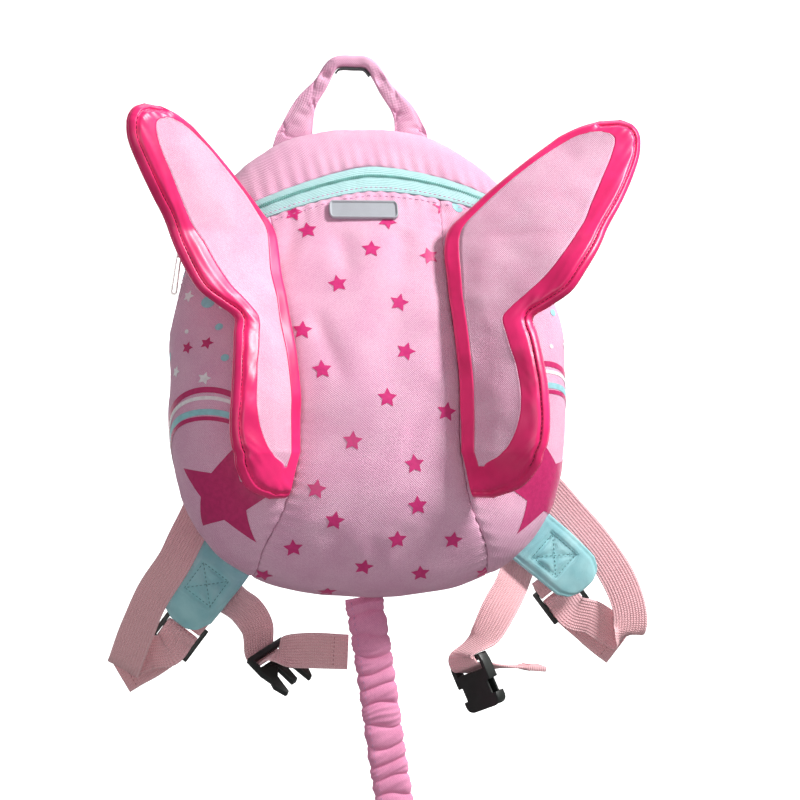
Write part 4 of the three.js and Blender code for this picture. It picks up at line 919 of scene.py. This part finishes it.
def loop_of(array, rows, columns):
    """The grid points round a rectangle of rows and columns, as one closed path."""
    (r0, r1), (c0, c1) = rows, columns
    edges = [array[r0:r1, c0], array[r1, c0:c1], array[r1:r0:-1, c1], array[r0, c1:c0:-1]]
    return np.concatenate(edges)


def build_wing(side):
    sign = SIDES[side]
    scale = np.array([WING_HEIGHT] + [WING_REACH * WING_POSE[side][3]] * 4)
    places = np.linspace(0, len(WING_ROWS) - 1, (len(WING_ROWS) - 1) * WING_STEPS + 1)
    rows = WING_ROWS * scale
    rows[:, 3:] += np.stack([np.interp(WING_ROWS[:, 0], WING_SHARES, fit) for fit in WING_FIT[side]], 1)
    marks = spline(rows, places)
    up = marks[:, 0] - WING_FOOT
    root, pane_in, pane_out, tip = marks[:, 1:].T[:, :, None]
    across = np.concatenate(
        [
            mix(root, pane_in, np.linspace(0, 1, INNER + 1)[None, :-1] ** 1.5),
            mix(pane_in, pane_out, np.linspace(0, 1, PANE + 1)[None, :-1]),
            mix(tip, pane_out, np.linspace(1, 0, OUTER + 1)[None] ** 1.6),
        ],
        1,
    )
    height = up[:, None] + 0 * across
    last = across.shape[1] - 1
    form = np.stack([across, height], -1)
    free = np.concatenate([form[0], form[:, last], form[-1, ::-1]])
    pane = loop_of(form, WINDOW, (INNER, INNER + PANE))
    to_free = distance_to(across, height, free, False)
    to_root = distance_to(across, height, form[:, 0], False)
    to_pane = distance_to(across, height, pane)
    run = (height - across) + 14 * np.sin(height / 31)

    near, near_root = np.minimum(to_free, 9) / 9, np.minimum(to_root, 3) / 3
    roll = np.minimum(np.sqrt(1 - (1 - near) ** 2), 0.25 + 0.75 * np.sqrt(1 - (1 - near_root) ** 2))
    roll = np.where(to_free < 0.01, 0, roll)
    crown = 0.15 + 5.9 * roll
    inside = np.zeros(across.shape, bool)
    inside[WINDOW[0] : WINDOW[1] + 1, INNER : INNER + PANE + 1] = True
    seam = 1.7 * np.exp(-(((to_free - EDGE_SEAM) / 0.6) ** 2))
    spot = np.stack([across, height, 0 * height], -1)
    waves = ripple(spot, 40 + sign, 42, 0.9) + ripple(spot, 90 + sign, 15, 0.28)
    gathers = puckers(np.abs(to_free - EDGE_SEAM), run, 0.5, 3.4, 6.0)
    gathers = gathers + puckers(to_free, run / 3.1, 0.7, 7.0, 9.0)
    pillow = 1.4 * np.minimum(1, np.minimum(to_free, to_root) / 22)
    sunk = 0.25 * np.where(inside, np.minimum(1, to_pane / 0.8), 0)
    front = crown - seam * near_root + (gathers + waves) * np.minimum(near, near_root) + pillow - sunk
    points = wing_place(side, across, height, front)

    def keep(bm, wanted):
        """Leaves only the faces of the pane or only those round it."""
        layer = bm.loops.layers.uv.active
        spots = [sum((loop[layer].uv for loop in face.loops), Vector((0, 0))) / 4 for face in bm.faces]
        line = np.array([[spot.x, spot.y] for spot in spots])
        rows = np.interp(-line[:, 1], -up, np.arange(len(up)))
        left = np.interp(rows, np.arange(len(up)), pane_in[:, 0])
        right = np.interp(rows, np.arange(len(up)), pane_out[:, 0])
        inner = (rows > WINDOW[0]) & (rows < WINDOW[1]) & (line[:, 0] > left) & (line[:, 0] < right)
        gone = [face for face, is_in in zip(bm.faces, inner) if is_in != wanted]
        bmesh.ops.delete(bm, geom=gone, context="FACES")

    def ahead(_):
        return Vector((0, -1, 0))

    bm = grid(points, form)
    keep(bm, False)
    face_out(bm, ahead)
    rim = make(f"wing_{side}_rim", bm, "border", (f"wing_{side}_border",), wall=0.9)
    bm = grid(points, form)
    keep(bm, True)
    face_out(bm, ahead)
    make(f"wing_{side}_pane", bm, "inset", (f"wing_{side}_inset",), wall=0.9)

    rear_waves = ripple(spot + np.array([0, 0, 30]), 60 + sign, 26, 0.6)
    rear = crown * 0.95 + (rear_waves + puckers(to_free, run, 0.5, 5, 6.5)) * np.minimum(near, near_root)
    behind = wing_place(side, across, height, -rear)
    bm = grid(behind, form)
    face_out(bm, lambda _: Vector((0, 1, 0)))
    back = make(f"wing_{side}_lining", bm, "border", (f"wing_{side}_back",), wall=0.9)

    path = []
    for row in range(3 * WING_STEPS, len(up) - 2 * WING_STEPS):
        away = to_free[row, INNER + PANE :][::-1]
        band_points = points[row, INNER + PANE :][::-1]
        path.append([np.interp(EDGE_SEAM, away, band_points[:, k]) for k in range(3)])
    outward = np.tile(np.array([0.0, -1.0, 0.0]), (len(path), 1))
    stitches(f"wing_{side}_stitches", np.array(path), outward, "thread_dark", 2.6, 2.3, 0.22)


# Straps


def width_aim(tilt, swing=0.0):
    tilt, swing = math.radians(tilt), math.radians(swing)
    return np.array([math.cos(tilt) * math.cos(swing), math.sin(swing), math.sin(tilt)])


def route(rows):
    """Points and width directions of rows (out, back, up, tilt, swing) given as shares of the bag."""
    scale = np.array([HALF_WIDTH, BACK_DEPTH, HEIGHT])
    return [(np.array(row[:3]) * scale, width_aim(*row[3:5])) for row in rows]


def sections(rows, count):
    """Even steps along a strap: middle, width direction, face direction, share and place."""
    points = np.array([point for point, _ in rows])
    aims = np.array([aim for _, aim in rows])
    places = even_places(points, np.linspace(0, 1, count))
    middle = spline(points, places)
    k = np.minimum(places.astype(int), len(rows) - 2)
    aim = mix(aims[k], aims[k + 1], (places - k)[:, None])
    way = unit(np.gradient(middle, axis=0))
    across = unit(aim - way * (aim * way).sum(1)[:, None])
    return middle, across, unit(np.cross(across, way)), np.linspace(0, 1, count), places


def sleeve(middle, across, face, u, v):
    """Closed rings with offsets u across and v along the face at each step."""
    points = middle[:, None] + across[:, None] * u[..., None] + face[:, None] * v[..., None]
    points[:, -1] = points[:, 0]
    flat = np.stack([u, run_of(middle)[:, None] + 0 * u], -1)
    return points, flat


def ring(count, power):
    turn = np.linspace(0, FULL_TURN, count + 1)
    u = np.sign(np.cos(turn)) * np.abs(np.cos(turn)) ** (2 / power)
    v = np.sign(np.sin(turn)) * np.abs(np.sin(turn)) ** (2 / power)
    return u, v


WEB_WIDTH, WEB_THICK = 20.0, 1.4


def web_strap(name, rows, node, count=260, hem=None):
    """A webbing strap; its hem is a doubled end with a stitched line."""
    middle, across, face, share, _ = sections(rows, count)
    u, v = ring(30, 9)
    length = run_of(middle)[-1]
    double = smooth(share, hem - 0.004, hem) if hem else 0 * share
    thick = (WEB_THICK + 1.8 * double) / 2
    wide = WEB_WIDTH / 2 * (1 + 0.012 * np.sin(share * length / 5.1))
    cup = 0.25 * np.sin(share * length / 23)[:, None] * (1 - u[None] ** 2)
    points, flat = sleeve(middle, across, face, wide[:, None] * u, thick[:, None] * v + cup)
    bm = grid(points, flat)
    close_tube(bm)
    make(name, bm, "web", (node,))
    if hem:
        at = int((hem + 0.2 * (1 - hem)) * (count - 1))
        line = np.linspace(-8.6, 8.6, 20)[:, None]
        for label, flip in (("front", 1), ("back", -1)):
            path = middle[at] + across[at] * line + face[at] * flip * (thick[at] + cup[at].max())
            outward = np.tile(face[at] * flip, (20, 1))
            stitches(f"{name}_hem_{label}", path, outward, "thread_web", 2.2, 1.6, 0.28)


# Out, back and up as shares of the half-width, back depth and height; the width's tilt and swing
# in degrees; and the pad's width as a share
PAD_ROWS = {
    "left": [
        (-0.25, 1.052, 0.45, 0, 0, 0.95), (-0.31, 1.33, 0.35, 0, 0, 1), (-0.4, 1.74, 0.16, 0, 0, 1),
        (-0.48, 1.86, -0.05, -5, 0, 1), (-0.58, 1.52, -0.22, -16, 0, 1), (-0.69, 1.14, -0.335, -32, 0, 0.92),
        (-0.8, 0.95, -0.398, -37, 0, 0.87), (-0.9, 0.9, -0.452, -37, 0, 0.84),
        (-0.94, 0.9, -0.476, -37, 0, 0.6), (-0.955, 0.88, -0.484, -37, 0, 0.3),
    ],
    "right": [
        (0.25, 1.052, 0.45, 0, 0, 0.95), (0.31, 1.33, 0.35, 0, 0, 1), (0.41, 1.74, 0.16, 0, 0, 1),
        (0.53, 1.8, -0.05, 6, 0, 1), (0.7, 1.36, -0.215, 30, 0, 0.96), (0.88, 0.985, -0.293, 42, 0, 0.9),
        (1.03, 0.9, -0.347, 45, 0, 0.88), (1.14, 0.87, -0.39, 45, 0, 0.83), (1.18, 0.86, -0.408, 45, 0, 0.6),
        (1.195, 0.86, -0.415, 45, 0, 0.3),
    ],
}  # fmt: skip
# Webbing routes in the same shares: out, back, up, tilt and, where it has one, swing
LOWER_WEB = {
    "left": [
        (-0.76, 0.965, -0.165, -32), (-0.865, 1.03, -0.262, -32), (-0.925, 0.88, -0.31, -31),
        (-0.975, 0.78, -0.35, -30), (-1.09, 0.78, -0.425, -27), (-1.17, 0.8, -0.503, -25),
        (-1.225, 0.87, -0.568, -27), (-1.235, 0.97, -0.583, -30), (-1.205, 1.08, -0.572, -35),
        (-1.11, 1.12, -0.555, -38),
    ],
    "right": [
        (0.8, 0.99, -0.085, 40), (0.95, 1.1, -0.172, 40), (1.11, 1.14, -0.246, 39), (1.31, 1.08, -0.347, 33),
        (1.41, 1.02, -0.422, 24), (1.445, 0.98, -0.48, 20), (1.437, 1.0, -0.518, 22),
        (1.41, 1.08, -0.529, 25), (1.36, 1.14, -0.516, 32), (1.25, 1.13, -0.487, 37),
    ],
}  # fmt: skip
TAIL_WEB = {
    "left": [(-1.1, 1.29, -0.575, -37), (-1.18, 1.3, -0.594, -34), (-1.245, 1.3, -0.61, -31)],
    "right": [(1.24, 1.31, -0.508, 36), (1.33, 1.33, -0.54, 30), (1.4, 1.34, -0.563, 22)],
}
CHEST_WEB = {
    "left": [(-0.78, 1.2, -0.378, 37), (-0.727, 1.17, -0.413, 36), (-0.675, 1.11, -0.437, 35, 4)]
    + [(-0.6, 0.85, -0.46, 33, 14), (-0.55, 0.73, -0.495, 31, 24)],
    "right": [(0.89, 1.1, -0.336, -37), (0.85, 1.09, -0.37, -37), (0.8, 0.93, -0.412, -33)]
    + [(0.72, 0.74, -0.462, -15, -12), (0.63, 0.6, -0.52, 8, -30)],
}
LOCK = {"left": (-0.945, 1.17, -0.513, -37), "right": (1.085, 1.18, -0.44, 37)}
LOCK_LENGTH, TURN_RADIUS, PAD_THICK = 22.0, 3.0, 7.0


def lock_place(side):
    """at(along, off) in a ladder lock's own frame, and the width direction there."""
    out, back, up, tilt = LOCK[side]
    centre = np.array([out * HALF_WIDTH, back * BACK_DEPTH, up * HEIGHT])
    lean = math.radians(abs(tilt))
    along = np.array([-SIDES[side] * math.sin(lean), 0, math.cos(lean)])
    return lambda a, n: centre + along * a + np.array([0, -n, 0]), width_aim(tilt), centre


def half_turn(at, aim, centre, way):
    angles = np.radians(np.linspace(-90, 90, 7))
    return [(at(centre + way * TURN_RADIUS * math.cos(a), -TURN_RADIUS * math.sin(a)), aim) for a in angles]


def build_lower_straps(side):
    at, aim, centre = lock_place(side)
    rows = route(LOWER_WEB[side]) + [
        (at(-LOCK_LENGTH / 2, TURN_RADIUS + 0.8), aim),
        (at(-2, TURN_RADIUS), aim),
        *half_turn(at, aim, 0.6, 1),
        (at(-2, -TURN_RADIUS), aim),
        (at(-LOCK_LENGTH / 2, -TURN_RADIUS - 1.2), aim),
    ]
    web_strap(f"lower_strap_{side}", rows + route(TAIL_WEB[side]), f"lower_web_{side}", 420, 0.972)

    bar = (LOCK_LENGTH - 3) / 2
    pad_back = PAD_ROWS[side][7][1] * BACK_DEPTH + PAD_THICK / 2
    near = centre[1] - pad_back - WEB_THICK / 2 - 0.6
    far = near - WEB_THICK - 0.6
    turn = half_turn(at, aim, bar - 0.3, -1)
    start = [
        (at(bar + 7.5, near), aim),
        (at(bar + 3, mix(TURN_RADIUS, near, 0.45)), aim),
        (at(bar + 1, 3.3), aim),
    ]
    end = [
        (at(bar + 2.2, -0.75 * TURN_RADIUS), aim),
        (at(bar + 4.6, far - 3.5), aim),
        (at(bar + 7.5, far), aim),
    ]
    web_strap(f"lock_loop_{side}", start + turn + end, f"adjuster_tab_{side}", 120)


def build_pad(side):
    """A stuffed shoulder pad with a bound edge, quilted lines and a stitched cross near its end."""
    rows = PAD_ROWS[side]
    count, around = 260, 72
    middle, across, face, share, places = sections(route(rows), count)
    wide = np.interp(places, np.arange(len(rows)), [row[5] for row in rows]) * 38 / 2
    end = 1 - 0.45 * smooth(share, 0.93, 1)
    run = run_of(middle)
    u, v = ring(around, 3)
    offset = wide[:, None] * u[None]
    left = (run[-1] - run)[:, None] + 0 * offset
    box_middle, box = 26.0, 9.0
    across_box, along_box = offset / box, (left - box_middle) / box
    lines = np.minimum(np.abs(np.abs(across_box) - 1), np.abs(np.abs(along_box) - 1)) * box
    cross = np.abs(np.abs(across_box) - np.abs(along_box)) * box / 1.41
    in_box = np.maximum(np.abs(across_box), np.abs(along_box)) < 1.08
    stitched = np.where(in_box, np.minimum(lines, cross), 9)
    channel = np.abs((left - 44) % 24 - 12)
    stitched = np.minimum(stitched, np.where((left > 44) & (np.abs(u) < 0.84), channel, 9))
    rim = np.abs(np.abs(u) - 0.86) * wide[:, None]
    groove = 1.5 * np.exp(-((stitched / 1.3) ** 2)) + 0.8 * np.exp(-((rim / 0.9) ** 2))
    soft = ripple(middle[:, None] + across[:, None] * offset[..., None], 70 + SIDES[side], 18, 0.6)
    thick = PAD_THICK / 2 * end[:, None] * v[None] * (1 + 0.12 * (1 - u[None] ** 2))
    proud = thick + np.sign(v)[None] * (soft - groove) * np.abs(v)[None]
    points, flat = sleeve(middle, across, face, offset, proud)
    bm = grid(points, flat)
    close_tube(bm)
    pad = make(f"shoulder_padding_{side}", bm, "pad", (f"shoulder_pad_{side}",))

    k = int(np.argmin(np.abs(run[-1] - run - box_middle)))
    top = PAD_THICK / 2 * 1.12 - 0.75
    way = unit(middle[k + 4] - middle[k - 4])
    for flip in (1, -1):
        corners = [(-1, -1), (1, -1), (1, 1), (-1, 1), (-1, -1), (1, 1), (1, -1), (-1, 1)]
        path = [middle[k] + (across[k] * a - way * b) * box + face[k] * flip * top for a, b in corners]
        dense = np.concatenate([np.linspace(a, b, 12) for a, b in zip(path, path[1:])])
        outward = np.tile(face[k] * flip, (len(dense), 1))
        name = f"pad_cross_{side}_{'front' if flip > 0 else 'back'}"
        stitches(name, dense, outward, "thread_pad", 2.4, 1.7, 0.28)


# Each buckle half: its place in the bag's shares, the way it points and the way its front faces
BUCKLES = {
    "left": ((-0.51, 0.58, -0.545), (0.63, -0.44, -0.65), (0.13, -0.76, 0.64)),
    "right": ((0.55, 0.6, -0.57), (0.38, -0.12, -0.92), (-0.72, -0.66, -0.21)),
}


def build_chest_strap(side):
    place, axis, facing = (np.array(row, float) for row in BUCKLES[side])
    centre = place * [HALF_WIDTH, BACK_DEPTH, HEIGHT]
    along = unit(axis)
    front = unit(facing - along * (facing @ along))
    across = np.cross(along, front)
    aim = across * np.sign(across[0])
    slot = 4.4
    over = SIDES[side] * 4.55

    def at(a, n):
        return centre + along * a + front * n

    rows = route(CHEST_WEB[side])
    rows += [(at(a, n), aim) for a, n in ((-3.4, over), (slot - 1.8, over), (slot, 0), (slot + 1.8, -over))]
    if side == "left":
        start = at(7.4, 8)
        tail = [((18, -1, 1), width_aim(66, 8)), ((40, -2, 0), width_aim(78, 4))]
    else:
        start = at(7.4, -9)
        tail = [((15.75, 3, 0), width_aim(4, -72)), ((35, 5, -1), width_aim(0, -80))]
    rows += [(start, aim)] + [(start + np.array(step, float), turn) for step, turn in tail]
    web_strap(f"chest_strap_{side}", rows, f"chest_web_{side}", 300, 0.92)


# Rein and handle


def build_rein():
    """A flat tube of cloth gathered over its whole length."""
    shares = [(-0.02, 0.19, 0), (0.02, 0.17, 0.21), (0.055, 0.15, 0.42), (0.1, 0.15, 0.7), (0.155, 0.15, 1)]
    top, long = -DROP - 2.1, 127.0
    rows = [
        (np.array([out * HALF_WIDTH, back * BACK_DEPTH, top - down * long]), width_aim(0))
        for out, back, down in shares
    ]
    count = 420
    middle, across, face, share, _ = sections(rows, count)
    u, v = ring(56, 2.6)
    run = share[:, None] * long + 1.6 * np.sin(u[None] * 2.1 + share[:, None] * 17) + 0.6 * v[None]
    wave = run / 10.2 + 0.16 * np.sin(run / 8.3 + 1)
    gather = np.abs(np.sin(math.pi * wave)) ** 0.45
    fine = np.sin(FULL_TURN * (run / 4.1 + 0.9 * u[None] + 0.4 * np.sin(run / 5.1)))
    calm = smooth(share, 0, 0.03)[:, None]
    wide = 10.6 + calm * (1.5 * (gather - 0.7) + 0.2 * fine)
    thick = mix(1.6, 4.2, calm) + calm * (3.0 * (gather - 0.8) + 0.22 * fine)
    points, flat = sleeve(middle, across, face, wide * u[None], thick * v[None])
    bm = grid(points, flat)
    close_tube(bm)
    rein = make("rein_gathered", bm, "rein", ("rein",))
    for label, column in (("front", 20), ("back", 36)):
        edge = points[4:-4, column]
        outward = unit(edge - middle[4:-4])
        stitches(f"rein_stitches_{label}", edge, outward, "thread_body", 3.4, 2.2, 0.28)


# Out and up as shares of the half-width and height, the band's width share, and how far it is a grip
HANDLE_ROWS = np.array([
    (-0.39, 0.495, 1, 0), (-0.365, 0.545, 1, 0), (-0.345, 0.578, 0.96, 0), (-0.29, 0.648, 0.66, 0.25),
    (-0.212, 0.693, 0.48, 0.6), (-0.138, 0.74, 0.36, 1), (-0.037, 0.7445, 0.32, 1), (0.042, 0.74, 0.36, 1),
    (0.137, 0.684, 0.48, 0.6), (0.227, 0.635, 0.68, 0.25), (0.264, 0.587, 0.86, 0), (0.28, 0.545, 0.9, 0),
    (0.29, 0.495, 0.9, 0),
])  # fmt: skip


def build_handle():
    """A band of cloth folded into a round grip, with a dark strip sewn under it."""
    up = HANDLE_ROWS[:, 1]
    depth = mix(41.0, 40.0, smooth(up, 0.545, 0.74))
    points = np.stack([HANDLE_ROWS[:, 0] * HALF_WIDTH, depth, up * HEIGHT], 1)
    count = 240
    places = even_places(points, np.linspace(0, 1, count))
    middle = spline(points, places)
    band_share, grip = (np.interp(places, np.arange(len(up)), HANDLE_ROWS[:, k]) for k in (2, 3))
    way = unit(np.gradient(middle, axis=0))
    face = np.tile([0.0, 1.0, 0.0], (count, 1))
    across = unit(np.cross(way, face))
    wide, thick = mix(band_share * 22, 7.0, grip) / 2, mix(2.6, 9.0, grip) / 2
    around = 48
    turn = np.linspace(0, FULL_TURN, around + 1)[None]
    u, v = ring(around, mix(5, 2.6, grip)[:, None])
    run = run_of(middle)[:, None]
    pleats = 0.5 * np.sin(4 * turn + run / 17) * (1 - grip)[:, None] * smooth(run, 10, 30)
    crumple = ripple(middle[:, None] + across[:, None] * (wide[:, None] * u)[..., None], 83, 13, 0.4)
    kinks = sum(np.exp(-(((places - spot) / 0.16) ** 2)) for spot in (4.35, 7.65))[:, None]
    sewn = 0.9 * (1 - grip[:, None]) * np.exp(-(((u - 0.3) / 0.06) ** 2))
    crease = 2.0 * kinks * (0.6 + 0.4 * np.sin(3 * turn)) + sewn
    folds = ((1.6, 0.7), (2.7, -0.8), (3.5, 0.5), (8.6, -0.6), (9.4, 0.8), (10.4, -0.7))
    dents = (np.exp(-(((places[:, None] - at - lean * u) / 0.09) ** 2)) for at, lean in folds)
    crease = crease + sum(1.1 * dent for dent in dents)
    swell = (pleats + crumple - crease) * smooth(run, 2, 14) * smooth(run[-1] - run, 2, 14)
    rings, flat = sleeve(middle, across, face, wide[:, None] * u, (thick[:, None] + swell) * v)
    bm = grid(rings, flat)
    close_tube(bm)
    make("handle_cloth", bm, "body", ("handle_cover",))

    share = np.linspace(0, 1, count)
    pick = (share >= 0.41) & (share <= 0.6)
    down = np.where(across[pick][:, 2] < 0, 1, -1)[:, None]
    under = middle[pick] + across[pick] * down * (wide[pick] + 0.85)[:, None]
    u, v = ring(16, 6)
    strip = 0.55 * u[None] + 0 * thick[pick][:, None]
    points, flat = sleeve(under, across[pick], face[pick], strip, (thick[pick] * 0.62)[:, None] * v[None])
    bm = grid(points, flat)
    close_tube(bm)
    make("grip_strip", bm, "lining", ("handle_lining",))


# Hard fittings


def eased(name, node, look, width, body="pack"):
    """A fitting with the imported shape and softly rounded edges."""
    bm = bmesh.new()
    bm.from_mesh(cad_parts[node].data)
    bmesh.ops.remove_doubles(bm, verts=bm.verts, dist=2e-6)
    bmesh.ops.dissolve_limit(bm, angle_limit=math.radians(3), verts=bm.verts, edges=bm.edges)
    sharp = [edge for edge in bm.edges if edge.is_manifold and edge.calc_face_angle() > math.radians(35)]
    bmesh.ops.bevel(
        bm,
        geom=sharp,
        offset=width / 1000,
        segments=3,
        profile=0.5,
        affect="EDGES",
        material=-1,
        clamp_overlap=True,
    )
    bmesh.ops.triangulate(bm, faces=bm.faces)
    make(name, bm, look, (node,), body, crisp=True)


def build_fittings():
    for side in SIDES:
        eased(f"ladder_lock_{side}", f"adjuster_{side}", "plastic", 0.5)
    eased("plug_shell", "buckle_plug", "plastic", 0.55)
    eased("socket_shell", "buckle_socket", "plastic", 0.8)
    eased("slider_metal", "zip_slider", "metal", 0.2)
    eased("pull_metal", "zip_pull", "metal", 0.2, "zip_pull")


# Stage


def build_stage():
    """A pale floor that curves up into a backdrop."""
    profile = [(-2.4, -0.8), (2.1, -0.8), (2.5, -0.74), (2.8, -0.5), (2.9, 0.1), (2.9, 2.4)]
    line = spline(np.array(profile), np.linspace(0, 5, 41))
    bm = bmesh.new()
    bmesh.ops.create_grid(bm, x_segments=1, y_segments=40, size=0.5)
    for vert in bm.verts:
        y, z = line[round((vert.co.y + 0.5) * 40)]
        vert.co = (vert.co.x * 9, y, z)
    mesh = bpy.data.meshes.new("backdrop")
    bm.to_mesh(mesh)
    bm.free()
    mesh.shade_smooth()
    p = Paint("pale_floor")
    glow = p.parts(p.place())[1].step(1.6, 2.3)
    p.feed(p.shader.inputs["Emission Color"], p.blend(glow, (0, 0, 0, 1), (1, 1, 1, 1)))
    p.shader.inputs["Emission Strength"].default_value = 1.0
    tone = glow * 0.95 + p.noise(3, 2) * 0.05
    mesh.materials.append(p.finish(p.blend(tone, (0.15, 0.15, 0.15, 1), (0.8, 0.8, 0.8, 1)), 0.9))
    floor = bpy.data.objects.new("backdrop", mesh)
    bpy.context.scene.collection.objects.link(floor)


def light(name, spot, power, size, tint=(1, 1, 1)):
    lamp = bpy.data.lights.new(name, "AREA")
    lamp.energy, lamp.size, lamp.color = power, size, tint
    holder = bpy.data.objects.new(name, lamp)
    holder.location = spot
    aim = Vector((0, 0, -0.2)) - Vector(spot)
    holder.rotation_euler = aim.to_track_quat("-Z", "Y").to_euler()
    bpy.context.scene.collection.objects.link(holder)


def build_camera():
    azimuth, distance = math.radians(-7), 1.35
    back = Vector((math.sin(azimuth), -math.cos(azimuth), 0))
    lens = bpy.data.cameras.new("camera")
    lens.sensor_width, lens.lens, lens.shift_x = 36, 108.5, 0.03875
    camera = bpy.data.objects.new("camera", lens)
    camera.location = Vector(metres([0, 0, 0])) + back * distance
    camera.rotation_euler = (-back).to_track_quat("-Z", "Y").to_euler()
    bpy.context.scene.collection.objects.link(camera)
    bpy.context.scene.camera = camera


def build_light():
    scene = bpy.context.scene
    scene.view_settings.view_transform = "Standard"
    world = bpy.data.worlds.new("studio")
    world.use_nodes = True
    world.node_tree.nodes["Background"].inputs["Color"].default_value = (1, 1, 1, 1)
    world.node_tree.nodes["Background"].inputs["Strength"].default_value = 0.26
    scene.world = world
    light("key", (1.6, -0.95, 1.38), 78, 0.45, (1, 0.99, 0.98))
    light("fill", (-0.5, -2.0, -0.4), 11, 1.2)
    light("rim", (0.3, 0.6, 1.2), 6, 0.8)


build_camera()
build_body()
build_back()
build_prints()
build_zip()
build_label()
for strap_side in SIDES:
    build_wing(strap_side)
    build_pad(strap_side)
    build_lower_straps(strap_side)
    build_chest_strap(strap_side)
build_rein()
build_handle()
build_fittings()
build_stage()
build_light()
